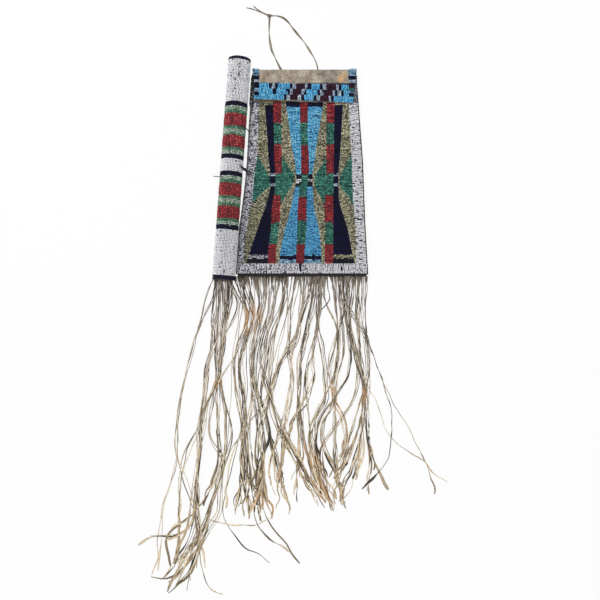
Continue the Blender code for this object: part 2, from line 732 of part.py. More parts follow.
def add_thong(bag):
    """Add the two legs of the hanging thong and the knot, with its two loose ends."""
    level = THONG_RADIUS
    start = FOLD_Y + math.sqrt(FOLD_RADIUS ** 2 - (FOLD_Z - 2 * level) ** 2) + CLEARANCE
    top = BAG_LENGTH / 2
    legs = (("thong_left", THONG_HOLES[0], THONG_LEFT), ("thong_right", THONG_HOLES[1], THONG_RIGHT))
    for name, hole, places in legs:
        route = [(hole, start, level)] + [(x, top + reach, level) for x, reach in places]
        add_lace(bag, name, "hide", route, THONG_RADIUS, THONG_STEP)

    knot_place = Vector((KNOT_PLACE[0], top + KNOT_PLACE[1], KNOT_RADII[2]))
    bm = bmesh.new()
    bmesh.ops.create_uvsphere(bm, u_segments=10, v_segments=6, radius=1.0)
    bmesh.ops.scale(bm, vec=KNOT_RADII, verts=bm.verts)
    bmesh.ops.translate(bm, vec=knot_place, verts=bm.verts)
    knot = bag.add("thong_knot", mesh_from(bm, "thong_knot", smooth=True), "hide")
    root = Vector((knot_place.x, knot_place.y, TAIL_ROOT_LEVEL))
    for name, (x, reach) in TAIL_TIPS.items():
        run = Vector((x, top + reach, TAIL_TIP_RADIUS)) - root
        bm = bmesh.new()
        bmesh.ops.create_cone(bm, cap_ends=True, segments=6, radius1=TAIL_ROOT_RADIUS,
                              radius2=TAIL_TIP_RADIUS, depth=run.length)
        turn = run.to_track_quat("Z", "Y").to_matrix().to_4x4()
        bmesh.ops.transform(bm, matrix=Matrix.Translation(root + run / 2) @ turn, verts=bm.verts)
        join = knot.modifiers.new(name, "BOOLEAN")
        join.operation = "UNION"
        join.object = bag.cutter(name, mesh_from(bm, name))


def add_ties(bag):
    """Add the two laces that tie the tube to the bag's left edge."""
    _, frame = tube_placed()
    axis = frame.to_3x3().col[2]
    lift = CLEARANCE + TIE_RADIUS
    side = Vector((axis.y, -axis.x, 0.0))
    rest = BEAD_BASE + BEAD_HEIGHT + LANE_CROWN + lift
    for name, v, angle in TIES:
        x_edge, y = bag_point(0.0, v)
        centre = frame.translation + axis * ((y - frame.translation.y) / axis.y)
        start = centre + side * (TUBE_RADIUS + lift) * math.sin(angle)
        start.z += (TUBE_RADIUS + lift) * math.cos(angle)
        over = Vector((x_edge, y - TIE_SLANT / 3, (start.z + rest) / 2 + TIE_ARCH))
        end = Vector((x_edge + EDGE_ROLL + TIE_REACH, y - TIE_SLANT, rest))
        add_lace(bag, name, "dark_lace", [start, over, end], TIE_RADIUS, TIE_STEP)


def add_comb(bag, name, roots, tips, levels, drop, count, phase):
    """Add one layer of fringe: a strip of hide cut into strands that lie down on the surface.

    roots holds the left and right end of the uncut strip as x, and its tucked and cut y. tips are
    (share, how far right of the root, how far below it) from the leftmost strand to the rightmost.
    levels are the heights of the strip's middle at the root and where it lies, and drop is the
    length over which it comes down.
    """
    x_left, x_right, y_tuck, y_cut = roots
    z_root, z_rest = levels
    cells = 2 * count - 1
    pitch = (x_right - x_left) / cells
    rng = random.Random(FRINGE_SEED + phase)

    def height(y):
        """Height of the layer's middle at y, an even ramp with soft ends."""
        share = min(max((y_cut - y) / drop, 0.0), 1.0)
        return z_root + (z_rest - z_root) * share * share * (3 - 2 * share)

    bm = bmesh.new()
    bmesh.ops.create_grid(bm, x_segments=cells, y_segments=1, size=0.5)
    bm.verts.ensure_lookup_table()
    for index, vert in enumerate(bm.verts):
        row, column = divmod(index, cells + 1)
        vert.co = (x_left + pitch * column, y_tuck if row else y_cut, z_root)
    for strand in range(count):
        share = (strand + 0.5) / count
        shift = float(np.interp(share, [t[0] for t in tips], [t[1] for t in tips]))
        below = float(np.interp(share, [t[0] for t in tips], [t[2] for t in tips]))
        tip_y = y_cut - below + rng.uniform(-TIP_SPREAD, TIP_SPREAD)
        root_x = x_left + pitch * (2 * strand + 0.5)
        first, second = bm.verts[2 * strand], bm.verts[2 * strand + 1]
        edge = bm.edges.get((first, second))
        wave = phase + SWAY_STEP * strand
        y_flat = y_cut - drop
        falling = [y_cut - drop * k / DROP_SEGMENTS for k in range(1, DROP_SEGMENTS + 1)]
        lying = [y_flat + (tip_y - y_flat) * k / LYING_SEGMENTS for k in range(1, LYING_SEGMENTS + 1)]
        for y in falling + lying:
            t = (y_cut - y) / (y_cut - tip_y)
            lean = t * (ROOT_LEAN + (1 - ROOT_LEAN) * t)
            sway = SWAY * math.sin(wave + 2 * math.pi * SWAY_TURNS * t)
            sway *= math.sin(math.pi * min(t * SWAY_END, 1.0))
            x = root_x + shift * lean + sway
            half = (STRAND_ROOT_WIDTH + (STRAND_TIP_WIDTH - STRAND_ROOT_WIDTH) * t) / 2
            drawn = bmesh.ops.extrude_edge_only(bm, edges=[edge])["geom"]
            edge = next(item for item in drawn if isinstance(item, bmesh.types.BMEdge))
            ends = sorted(edge.verts, key=lambda v: v.co.x)
            ends[0].co = (x - half, y, height(y))
            ends[1].co = (x + half, y, height(y))
        bm.verts.ensure_lookup_table()
    piece = bag.add(name, mesh_from(bm, name), "fringe_hide")
    wall = piece.modifiers.new("hide", "SOLIDIFY")
    wall.thickness = FRINGE
    wall.offset = 0.0


def add_bag_fringe(bag):
    """Add the three layers of fringe caught between the panels along the bottom."""
    seam = -BAG_LENGTH / 2
    tucked = 1.0 - ROOT_TUCK / BAG_LENGTH
    x_left, _ = bag_point(panel_left(tucked), tucked)
    x_right, _ = bag_point(panel_right(tucked), tucked)
    roots = (x_left + CLEARANCE, x_right - CLEARANCE, seam + ROOT_TUCK, seam - ROOT_STRIP)
    space = (POCKET - len(BAG_LAYERS) * FRINGE) / (len(BAG_LAYERS) + 1)
    for k, (name, tips) in enumerate(BAG_LAYERS):
        z_root = HIDE + space + FRINGE / 2 + k * (FRINGE + space)
        z_rest = FRINGE / 2 + k * (FRINGE + CLEARANCE)
        add_comb(bag, name, roots, tips, (z_root, z_rest), BAG_DROP, BAG_STRANDS, k)


def add_tube_fringe(bag):
    """Add the two layers of fringe that fill the tube's lower end."""
    half, frame = tube_placed()
    end = frame @ Vector((0.0, 0.0, -half))
    roots = (end.x - TUBE_ROOT_HALF_WIDTH, end.x + TUBE_ROOT_HALF_WIDTH, end.y + ROOT_TUCK,
             end.y - ROOT_STRIP)
    for k, (name, tips) in enumerate(TUBE_LAYERS):
        z_root = TUBE_RADIUS + (k - 0.5) * (FRINGE + CLEARANCE)
        z_rest = FRINGE / 2 + k * (FRINGE + CLEARANCE)
        add_comb(bag, name, roots, tips, (z_root, z_rest), TUBE_DROP, TUBE_STRANDS, k + 3)


def main():
    """Build the whole bag."""
    clear_scene()
    bag = Bag()
    add_panels(bag)
    add_edge(bag, "edge_roll_left", "speckled", "left", EDGE_ROLL)
    add_edge(bag, "edge_binding_right", "dark_lace", "right", EDGE_BINDING)
    add_front(bag)
    add_fold(bag)
    add_flap(bag)
    add_tube(bag)
    add_thong(bag)
    add_ties(bag)
    add_bag_fringe(bag)
    add_tube_fringe(bag)


main()
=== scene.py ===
"""The beaded pipe bag, dressed over its CAD frame.

Every bead of the pouch, the flap and the tube, the hide they are sewn on, the laces, the thong and the fringe
are built here, each sub-assembly by its own class. Lengths are in metres. Places measured in the picture are
pairs (across, down) in pixels, and Studio.at turns them into places on the bag.
"""
import logging
from dataclasses import dataclass, field, fields
from enum import Enum
from itertools import cycle
from typing import ClassVar, Iterable, Iterator, Sequence

import bpy
import numpy as np
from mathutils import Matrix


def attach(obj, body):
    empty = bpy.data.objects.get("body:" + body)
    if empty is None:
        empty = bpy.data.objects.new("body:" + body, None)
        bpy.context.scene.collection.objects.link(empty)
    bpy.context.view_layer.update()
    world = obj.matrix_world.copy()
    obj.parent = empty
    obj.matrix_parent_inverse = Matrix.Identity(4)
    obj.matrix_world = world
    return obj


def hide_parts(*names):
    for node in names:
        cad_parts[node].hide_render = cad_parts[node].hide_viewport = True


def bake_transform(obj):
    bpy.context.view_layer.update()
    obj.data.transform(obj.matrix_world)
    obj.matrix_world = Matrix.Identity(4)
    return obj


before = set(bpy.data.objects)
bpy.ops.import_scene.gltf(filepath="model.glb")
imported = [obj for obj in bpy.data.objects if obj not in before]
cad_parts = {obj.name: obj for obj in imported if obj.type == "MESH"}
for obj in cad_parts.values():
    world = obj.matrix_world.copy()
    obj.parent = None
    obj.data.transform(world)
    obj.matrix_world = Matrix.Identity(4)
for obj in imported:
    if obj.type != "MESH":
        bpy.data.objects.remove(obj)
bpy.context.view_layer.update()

LOG = logging.getLogger("pipe_bag")

Array = np.ndarray
Socket = bpy.types.NodeSocket
Colour = tuple[float, float, float]
Point = tuple[float, float, float]
Places = Sequence[tuple[float, float]]
Numbers = np.ndarray | float
Rng = np.random.Generator

# The hide's thickness, and the beads: radius, pitch along a string, pitch of the strings, share of these
# for the finer ones, how much of its pitch a bead fills, a lane's rise in its middle and the number of tones
HIDE = 0.0014
BEAD_RADIUS = 0.00088
BEAD_PITCH = 0.00184
ROW_PITCH = 0.00182
FINE = 0.84
BEAD_FILL = 0.97
LANE_CROWN = 0.0004
TONES = 16
# The pouch's length, the heights of the two beaded faces of hide and the axis that the flap folds round
BAG_LENGTH = 0.254
FRONT_TOP = 0.0078
FLAP_TOP = 0.0095
FOLD_Y = 0.12225
FOLD_Z = 0.00475
# One pixel of the picture at the height of the beads
PIXEL = 0.00124
UP = np.array([0.0, 0.0, 1.0])
# Along the bag, towards the fringe
DOWN = np.array([0.0, -1.0, 0.0])


# Curves and surfaces


def unit(vectors: Array) -> Array:
    """Vectors of length one."""
    return vectors / np.maximum(np.linalg.norm(vectors, axis=-1, keepdims=True), 1e-12)


def ease(share: Array) -> Array:
    """A step with soft ends: three shares squared less two shares cubed, between 0 and 1."""
    share = np.clip(share, 0.0, 1.0)
    return share * share * (3 - 2 * share)


def lengths(points: Array) -> Array:
    """How far along a line each of its points is."""
    return np.concatenate([[0.0], np.cumsum(np.linalg.norm(np.diff(points, axis=0), axis=1))])


def resampled(points: Array, count: int, rounds: int = 3) -> Array:
    """A smooth line through points.

    Points are read at even steps of the length, then each is moved a number of times to the mean of itself,
    twice, and its two neighbours. Both ends stay.

    Args:
        points: corners of the line, one row each.
        count: points of the new line.
        rounds: how often it is smoothed.

    Returns:
        The new points.
    """
    reach = lengths(points)
    steps = np.linspace(0.0, reach[-1], count)
    line = np.stack([np.interp(steps, reach, column) for column in points.T], axis=-1)
    for _ in range(rounds):
        line[1:-1] = (line[:-2] + 2 * line[1:-1] + line[2:]) / 4
    return line


def slow_noise(count: int, knots: int, rng: Rng) -> Array:
    """Random values that change slowly along a line: a few random knots with an eased step between them."""
    values = rng.uniform(-1.0, 1.0, knots)
    share = np.linspace(0.0, knots - 1.0, count)
    low = np.minimum(share.astype(int), knots - 2)
    return values[low] + (values[low + 1] - values[low]) * ease(share - low)


@dataclass
class Surface:
    """Points, faces grouped by their number of corners, values per point and places on the own map."""

    points: Array
    faces: list[Array]
    values: dict[str, Array] = field(default_factory=dict)
    map: Array | None = None

    @staticmethod
    def joined(parts: Iterable["Surface"]) -> "Surface":
        """Several surfaces as one.

        Args:
            parts: surfaces with the same values per point. The whole has a map if the first of them has one.

        Returns:
            The whole, with each part's faces kept together.
        """
        parts = list(parts)
        starts = np.concatenate([[0], np.cumsum([len(p.points) for p in parts])])
        faces = [face + start for p, start in zip(parts, starts) for face in p.faces]
        values = {name: np.concatenate([p.values[name] for p in parts]) for name in parts[0].values}
        maps = None if parts[0].map is None else np.concatenate([p.map for p in parts])
        return Surface(np.concatenate([p.points for p in parts]), faces, values, maps)

    def marked(self, mark: Numbers) -> "Surface":
        """The same surface without a map of its own, with one mark for all points or one for each."""
        mark = np.broadcast_to(mark, len(self.points)).copy()
        return Surface(self.points, self.faces, {**self.values, "mark": mark})

    def raised(self, floor: float, around: int) -> Array:
        """Lifts each ring of a loft that reaches below a floor up to it."""
        lift = np.maximum(0.0, floor - self.points[:, 2].reshape(-1, around).min(axis=1))
        self.points[:, 2] += np.repeat(lift, around)
        return lift


def lofted(rings: Array) -> Surface:
    """The closed skin over rings of points, with a face over each end.

    Point (i, j) is joined to its neighbours along i, the way, and round j, right-handed about it. The own map
    runs along the way and round it, with the end faces as ovals in its first and last step.

    Args:
        rings: points as (along, round, 3).

    Returns:
        The surface.
    """
    along, around, _ = rings.shape
    index = np.arange(along * around).reshape(along, around)
    nxt = np.roll(index, -1, axis=1)
    quads = np.stack([index[:-1], nxt[:-1], nxt[1:], index[1:]], axis=-1).reshape(-1, 4)
    caps = np.stack([index[0, ::-1], index[-1]])
    step = np.linspace(0.0, 1.0, along)
    turn = np.arange(around + 1) / around
    u0, v0 = np.meshgrid(step[:-1], turn[:-1], indexing="ij")
    u1, v1 = np.meshgrid(step[1:], turn[1:], indexing="ij")
    corners = np.stack([np.stack(uv, -1) for uv in ((u0, v0), (u0, v1), (u1, v1), (u1, v0))], axis=2)
    angle = 2 * np.pi * np.arange(around) / around
    oval = np.stack([np.abs(np.cos(angle)) * step[1] * 0.5, 0.5 + 0.4 * np.sin(angle)], -1)
    ends = np.concatenate([oval[::-1], np.stack([1 - oval[:, 0], oval[:, 1]], -1)])
    return Surface(rings.reshape(-1, 3), [quads, caps], {}, np.concatenate([corners.reshape(-1, 2), ends]))


def sheet_between(top: Array, bottom: Array) -> Surface:
    """The closed skin of a sheet: its two faces and the four rims between them, joined face by face.

    Args:
        top: the upper face's points as (down, across, 3), seen from above.
        bottom: the lower face's points, in the same order.

    Returns:
        The surface.
    """
    rows, columns, _ = top.shape
    upper = np.arange(rows * columns).reshape(rows, columns)
    lower = upper + rows * columns
    faces = [np.stack([upper[:-1, :-1], upper[1:, :-1], upper[1:, 1:], upper[:-1, 1:]], -1).reshape(-1, 4),
             np.stack([lower[:-1, :-1], lower[:-1, 1:], lower[1:, 1:], lower[1:, :-1]], -1).reshape(-1, 4)]
    for up_rim, low_rim in ((upper[:, 0], lower[:, 0]), (upper[-1], lower[-1]),
                            (upper[::-1, -1], lower[::-1, -1]), (upper[0, ::-1], lower[0, ::-1])):
        faces.append(np.stack([up_rim[:-1], low_rim[:-1], low_rim[1:], up_rim[1:]], -1))
    return Surface(np.concatenate([top.reshape(-1, 3), bottom.reshape(-1, 3)]), faces)


def swept(path: Array, across: Array, half_width: Numbers, half_depth: Numbers,
          sides: int = 6) -> Surface:
    """A lace along a path: an oval whose long side points across.

    Point j of an oval stands cos(angle) half widths across and sin(angle) half depths over it.

    Args:
        path: points of the middle line.
        across: the direction of the lace's width, for each point or for all.
        half_width: half of the width, at each point or everywhere.
        half_depth: half of the thickness, likewise.
        sides: corners of the oval.

    Returns:
        The closed surface.
    """
    way = unit(np.gradient(path, axis=0))
    across = unit(across - way * np.sum(across * way, axis=1, keepdims=True))
    over = np.cross(way, across)
    angle = 2 * np.pi * np.arange(sides) / sides
    half_width, half_depth = (np.broadcast_to(half, len(path))[:, None] for half in (half_width, half_depth))
    return lofted(path[:, None] + across[:, None] * (np.cos(angle) * half_width)[..., None]
                  + over[:, None] * (np.sin(angle) * half_depth)[..., None])


def knotted(middle: Array, size: Point, half_width: float, half_depth: float, points: int,
            sides: int) -> Surface:
    """A small knot: a lace along a trefoil.

    At the angle t it is at (sin t + 2 sin 2t) / 3, (cos t - 2 cos 2t) / 3 and sin 3t, times the sizes.
    """
    t = np.linspace(0.0, 2 * np.pi, points)
    x, y = (np.sin(t) + 2 * np.sin(2 * t)) / 3, (np.cos(t) - 2 * np.cos(2 * t)) / 3
    return swept(middle + np.stack([x, y, np.sin(3 * t)], -1) * size, UP, half_width, half_depth, sides)


# Materials


def linear(shown: Colour) -> tuple[float, float, float, float]:
    """A colour in linear light from the colour that a screen shows: the sRGB curve."""
    c = np.array(shown)
    light = np.where(c <= 0.04045, c / 12.92, ((c + 0.055) / 1.055) ** 2.4)
    return (*(float(x) for x in light), 1.0)


class Nodes:
    """A tree of nodes that is written down step by step."""

    def __init__(self, tree: bpy.types.NodeTree) -> None:
        """Keeps the tree."""
        self.tree = tree

    def join(self, source: Socket, target: Socket) -> None:
        """Links one socket to another."""
        self.tree.links.new(source, target)

    def node(self, kind: str, sockets: dict[str | int, object] | None = None,
             **settings: object) -> bpy.types.Node:
        """A new node.

        Args:
            kind: its type.
            sockets: a value, or a socket to join to it, for its sockets by name or number.
            settings: its other settings.

        Returns:
            The node.
        """
        node = self.tree.nodes.new(kind)
        for name, value in settings.items():
            setattr(node, name, value)
        for name, value in (sockets or {}).items():
            if isinstance(value, Socket):
                self.join(value, node.inputs[name])
            else:
                node.inputs[name].default_value = value
        return node

    def layered(self, share: Socket, under: Socket, over: Socket) -> Socket:
        """One surface over another, by a share."""
        return self.node("ShaderNodeMixShader", {0: share, 1: under, 2: over}).outputs[0]

    def seen(self) -> Socket:
        """1 for rays of the camera and for those that gloss and glass send, 0 for light."""
        ray = self.node("ShaderNodeLightPath")
        found = ray.outputs["Is Camera Ray"]
        for name in ("Is Glossy Ray", "Is Transmission Ray"):
            most = self.node("ShaderNodeMath", {0: found, 1: ray.outputs[name]}, operation="MAXIMUM")
            found = most.outputs[0]
        return found


class Shader(Nodes):
    """One material's nodes on one Principled surface."""

    def __init__(self, name: str) -> None:
        """Starts a material with its surface and output."""
        self.material = bpy.data.materials.new(name)
        self.material.use_nodes = True
        super().__init__(self.material.node_tree)
        self.tree.nodes.clear()
        self.surface = self.node("ShaderNodeBsdfPrincipled")
        self.out = self.node("ShaderNodeOutputMaterial", {"Surface": self.surface.outputs[0]})

    def read(self, name: str) -> Socket:
        """A value that the mesh holds per point."""
        return self.node("ShaderNodeAttribute", attribute_name=name).outputs["Fac"]

    def noise(self, scale: float, detail: float = 3.0, stretch: Colour = (1.0, 1.0, 1.0)) -> Socket:
        """Noise on the object's own coordinates."""
        place = self.node("ShaderNodeTexCoord").outputs["Object"]
        place = self.node("ShaderNodeMapping", {"Vector": place, "Scale": stretch}).outputs["Vector"]
        sockets = {"Vector": place, "Scale": scale, "Detail": detail}
        return self.node("ShaderNodeTexNoise", sockets).outputs["Fac"]

    def ramp(self, source: Socket, stops: Sequence[tuple[float, Colour]]) -> Socket:
        """A colour for each value.

        Args:
            source: the value.
            stops: values and the colours that a screen shows for them, in rising order.

        Returns:
            The colour, read between the stops.
        """
        ramp = self.node("ShaderNodeValToRGB", {"Fac": source})
        elements = ramp.color_ramp.elements
        while len(elements) < len(stops):
            elements.new(1.0)
        for element, (place, colour) in zip(elements, stops):
            element.position = place
            element.color = linear(colour)
        return ramp.outputs["Color"]

    def grey_ramp(self, source: Socket, *stops: tuple[float, float]) -> Socket:
        """A grey for each value, read between stops of (value, grey)."""
        return self.ramp(source, [(place, (grey,) * 3) for place, grey in stops])

    def spread(self, source: Socket, low: float, high: float) -> Socket:
        """A value between low and high as the source goes from 0 to 1."""
        sockets = {"Value": source, "To Min": low, "To Max": high}
        return self.node("ShaderNodeMapRange", sockets).outputs["Result"]

    def mix(self, share: Socket | float, first: Socket, second: Socket | Colour, mode: str = "MIX") -> Socket:
        """Two colours as one."""
        if isinstance(second, tuple):
            second = linear(second)
        sockets = {0: share, 6: first, 7: second}
        return self.node("ShaderNodeMix", sockets, data_type="RGBA", blend_type=mode).outputs[2]

    def shaded(self, colour: Socket, shade: Socket) -> Socket:
        """A colour times a shade."""
        return self.mix(1.0, colour, shade, "MULTIPLY")

    def bump(self, height: Socket, strength: float, depth: float) -> None:
        """Raises the surface by height, up to a depth in metres."""
        node = self.node("ShaderNodeBump", {"Height": height, "Strength": strength, "Distance": depth})
        self.join(node.outputs["Normal"], self.surface.inputs["Normal"])

    def paint(self, colour: Socket, roughness: Socket, mirror: float) -> bpy.types.Material:
        """Ends the material."""
        self.join(colour, self.surface.inputs["Base Color"])
        self.join(roughness, self.surface.inputs["Roughness"])
        self.surface.inputs["Specular IOR Level"].default_value = mirror
        return self.material


@dataclass(frozen=True)
class BeadGlass:
    """A colour of glass seed beads: stops by tone, the painted shade at a bead's ends and how it mirrors."""

    slot: str
    stops: tuple[tuple[float, Colour], ...]
    roughness: tuple[float, float] = (0.42, 0.30)
    # Grey that a bead's ends are multiplied by: painted shade where beads meet
    ends: float = 0.74
    mirror: float = 0.5

    def material(self, name: str) -> bpy.types.Material:
        """The material of that name: colour and roughness by the bead's tone, with painted shade towards its
        ends.
        """
        shader = Shader(name)
        tone = shader.read("tone")
        # Painted shade at the bead's ends, where it meets its neighbours
        ends = shader.grey_ramp(shader.read("groove"), (0.15, 1.0), (1.0, self.ends))
        colour = shader.shaded(shader.ramp(tone, self.stops), ends)
        return shader.paint(colour, shader.spread(tone, *self.roughness), self.mirror)


class Glass(Enum):
    """The bead colours of this bag."""

    WHITE = BeadGlass("white_beads", ((0.0, (0.32, 0.31, 0.36)), (0.18, (0.54, 0.53, 0.58)),
                                      (0.28, (0.80, 0.80, 0.85)), (0.5, (0.93, 0.93, 0.96)),
                                      (1.0, (1.0, 1.0, 1.0))), ends=0.86)
    SPECKLED = BeadGlass("speckled_beads", ((0.0, (0.08, 0.07, 0.10)), (0.25, (0.32, 0.31, 0.35)),
                                            (0.60, (0.62, 0.62, 0.66)), (1.0, (0.92, 0.92, 0.95))), ends=0.80)
    KHAKI = BeadGlass("khaki_beads", ((0.0, (0.22, 0.22, 0.17)), (0.15, (0.42, 0.41, 0.32)),
                                      (0.4, (0.63, 0.62, 0.50)), (0.8, (0.82, 0.80, 0.66)),
                                      (1.0, (0.98, 0.94, 0.80))), ends=0.66)
    NAVY = BeadGlass("navy_beads", ((0.0, (0.01, 0.01, 0.07)), (0.5, (0.03, 0.02, 0.17)),
                                    (1.0, (0.09, 0.08, 0.32))), mirror=0.2)
    BLUE = BeadGlass("blue_beads", ((0.0, (0.16, 0.40, 0.56)), (0.25, (0.34, 0.68, 0.90)),
                                    (0.7, (0.46, 0.84, 1.0)), (1.0, (0.70, 0.96, 1.0))), ends=0.80)
    SKY = BeadGlass("blue_beads", ((0.0, (0.14, 0.44, 0.66)), (0.25, (0.32, 0.70, 0.94)),
                                   (0.7, (0.40, 0.82, 1.0)), (1.0, (0.70, 0.96, 1.0))), ends=0.86)
    GREEN = BeadGlass("green_beads", ((0.0, (0.04, 0.18, 0.16)), (0.3, (0.14, 0.43, 0.38)),
                                      (0.7, (0.24, 0.57, 0.49)), (1.0, (0.46, 0.76, 0.66))))
    RED = BeadGlass("red_beads", ((0.0, (0.26, 0.04, 0.07)), (0.3, (0.55, 0.11, 0.15)),
                                  (0.7, (0.72, 0.17, 0.20)), (1.0, (0.88, 0.38, 0.38))))
    SAGE = BeadGlass("sage_beads", ((0.0, (0.36, 0.44, 0.38)), (0.3, (0.58, 0.68, 0.60)),
                                    (0.7, (0.74, 0.82, 0.74)), (1.0, (0.88, 0.92, 0.86))))
    LEAF = BeadGlass("green_beads", ((0.0, (0.14, 0.32, 0.24)), (0.5, (0.30, 0.52, 0.40)),
                                     (1.0, (0.50, 0.70, 0.58))))
    MAROON = BeadGlass("maroon_beads", ((0.0, (0.08, 0.03, 0.09)), (0.5, (0.20, 0.05, 0.13)),
                                        (1.0, (0.36, 0.10, 0.22))), mirror=0.25)
    GREY = BeadGlass("speckled_beads", ((0.0, (0.40, 0.46, 0.56)), (0.5, (0.68, 0.77, 0.87)),
                                        (1.0, (0.92, 0.97, 1.0))), ends=0.86)
    BLACK = BeadGlass("navy_beads", ((0.0, (0.02, 0.03, 0.05)), (0.5, (0.05, 0.07, 0.11)),
                                     (1.0, (0.13, 0.15, 0.21))), mirror=0.25)
    PALE = BeadGlass("blue_beads", ((0.0, (0.20, 0.36, 0.48)), (0.5, (0.46, 0.66, 0.80)),
                                    (1.0, (0.78, 0.92, 1.0))))


@dataclass(frozen=True)
class HideFinish:
    """Tanned hide: mottled colour, grain, a second colour where it is marked, and shadow under beads."""

    slot: str
    light: Colour
    dark: Colour
    marked: Colour = (0.40, 0.38, 0.38)
    grain: float = 900.0
    mottle: float = 45.0
    relief: float = 0.00025
    roughness: tuple[float, float] = (0.72, 0.92)
    shadow: Colour = (0.15, 0.16, 0.23)
    mirror: float = 0.25

    def material(self, name: str) -> bpy.types.Material:
        """The material: slow mottling, marks and shadow by the mesh, grain in colour and relief."""
        shader = Shader(name)
        slow = shader.noise(self.mottle, 4.0)
        fine = shader.noise(self.grain)
        colour = shader.ramp(slow, ((0.32, self.dark), (0.68, self.light)))
        colour = shader.mix(shader.read("mark"), colour, self.marked)
        colour = shader.mix(shader.read("covered"), colour, self.shadow)
        colour = shader.shaded(colour, shader.grey_ramp(fine, (0.32, 0.68), (0.60, 1.0)))
        shader.bump(fine, 0.6, self.relief)
        return shader.paint(colour, shader.spread(slow, *self.roughness), self.mirror)


@dataclass(frozen=True)
class FringeFinish:
    """Cut hide strands: grey on one side, tan on the other, dark at the root and lighter at the tip."""

    slot: str = "fringe_hide"
    tones: tuple[tuple[float, Colour], ...] = ((0.0, (0.30, 0.29, 0.28)), (0.25, (0.55, 0.53, 0.49)),
                                               (0.6, (0.87, 0.82, 0.75)), (1.0, (1.0, 0.98, 0.93)))
    shades: tuple[tuple[float, Colour], ...] = ((0.0, (0.50, 0.47, 0.46)), (0.05, (0.72, 0.69, 0.67)),
                                                (0.18, (0.93, 0.90, 0.87)), (0.5, (1.0, 0.97, 0.91)),
                                                (1.0, (1.0, 0.95, 0.86)))
    tan: Colour = (0.98, 0.76, 0.52)
    roughness: tuple[float, float] = (0.70, 0.92)
    mirror: float = 0.25

    def material(self, name: str) -> bpy.types.Material:
        """The material: tone by strand and side, shade along it, tan by the mesh, lengthwise grain."""
        shader = Shader(name)
        colour = shader.shaded(shader.ramp(shader.read("tone"), self.tones),
                               shader.ramp(shader.read("along"), self.shades))
        colour = shader.mix(shader.read("mark"), colour, self.tan)
        grain = shader.noise(700.0, 3.0, (1.0, 0.25, 1.0))
        colour = shader.shaded(colour, shader.grey_ramp(grain, (0.30, 0.80), (0.62, 1.0)))
        shader.bump(grain, 0.5, 0.0002)
        return shader.paint(colour, shader.spread(grain, *self.roughness), self.mirror)


class Leather(Enum):
    """The hides and laces of this bag."""

    BARE = HideFinish("hide", (0.80, 0.75, 0.68), (0.50, 0.46, 0.41), (0.88, 0.68, 0.46), mottle=95.0)
    GROUND = HideFinish("hide", (0.72, 0.66, 0.56), (0.60, 0.54, 0.46))
    EDGE = HideFinish("dark_lace", (0.22, 0.19, 0.18), (0.12, 0.10, 0.11), (0.06, 0.05, 0.06), mottle=120.0)
    # Its marked near-black is painted shade in the pinches of its stitches
    BINDING = HideFinish("dark_lace", (0.33, 0.26, 0.21), (0.18, 0.14, 0.12), (0.08, 0.06, 0.06), mottle=140)
    # Its marked grey, on the outer wall, is painted shade under the tube's beads
    SLEEVE = HideFinish("hide", (0.60, 0.52, 0.42), (0.44, 0.37, 0.30))
    LACE = HideFinish("dark_lace", (0.20, 0.18, 0.17), (0.10, 0.09, 0.10), (0.05, 0.05, 0.05), mottle=150.0)
    THONG = HideFinish("hide", (0.70, 0.64, 0.54), (0.48, 0.44, 0.37), (0.30, 0.28, 0.24), mottle=110.0)
    FRINGE = FringeFinish()


def material_of(finish: Glass | Leather) -> bpy.types.Material:
    """The material of a finish, made at its first use."""
    name = f"{'glass' if isinstance(finish, Glass) else 'hide'}_{finish.name.lower()}"
    return bpy.data.materials.get(name) or finish.value.material(name)


# Pieces


class Carrier(Enum):
    """Which body a piece is parented to: the pouch's, or none for the flap's pieces."""

    BAG = "bag"
    FLAP = "flap"

    def take(self, piece: bpy.types.Object) -> None:
        """The piece is parented to the pouch's body; a flap piece only gets its placement baked into its
        mesh.
        """
        if self is Carrier.BAG:
            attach(piece, "bag")
        else:
            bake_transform(piece)


def put(name: str, surface: Surface, finish: Glass | Leather, carrier: Carrier = Carrier.BAG,
        stands_for: Sequence[str] = ()) -> bpy.types.Object:
    """Makes one piece of the bag.

    Args:
        name: name of the piece.
        surface: its shape.
        finish: its finish.
        carrier: whether it is parented to the pouch's body.
        stands_for: CAD nodes that it replaces.

    Returns:
        The object.
    """
    mesh = bpy.data.meshes.new(name)
    mesh.vertices.add(len(surface.points))
    mesh.vertices.foreach_set("co", surface.points.astype(np.float32).ravel())
    loops = np.concatenate([face.ravel() for face in surface.faces]).astype(np.int32)
    sizes = np.concatenate([np.full(len(face), face.shape[1]) for face in surface.faces])
    mesh.loops.add(len(loops))
    mesh.loops.foreach_set("vertex_index", loops)
    mesh.polygons.add(len(sizes))
    mesh.polygons.foreach_set("loop_start", (np.cumsum(sizes) - sizes).astype(np.int32))
    mesh.polygons.foreach_set("use_smooth", np.ones(len(sizes), bool))
    for key, values in surface.values.items():
        mesh.attributes.new(key, "FLOAT", "POINT").data.foreach_set("value", values.astype(np.float32))
    if surface.map is not None:
        mesh.uv_layers.new(name="OFBake").data.foreach_set("uv", surface.map.astype(np.float32).ravel())
    mesh.update(calc_edges=True)
    mesh.materials.append(material_of(finish))
    piece = bpy.data.objects.new(name, mesh)
    bpy.context.scene.collection.objects.link(piece)
    carrier.take(piece)
    if stands_for:
        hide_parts(*stands_for)
    LOG.info("%s: %d points, %d faces", name, len(surface.points), len(sizes))
    return piece


GLASSES = list(Glass)
# Glasses in order along a field, each with the place where it ends, in pixels
Bands = Sequence[tuple[float, Glass]]
ALL_WHITE: Bands = ((400.0, Glass.WHITE),)


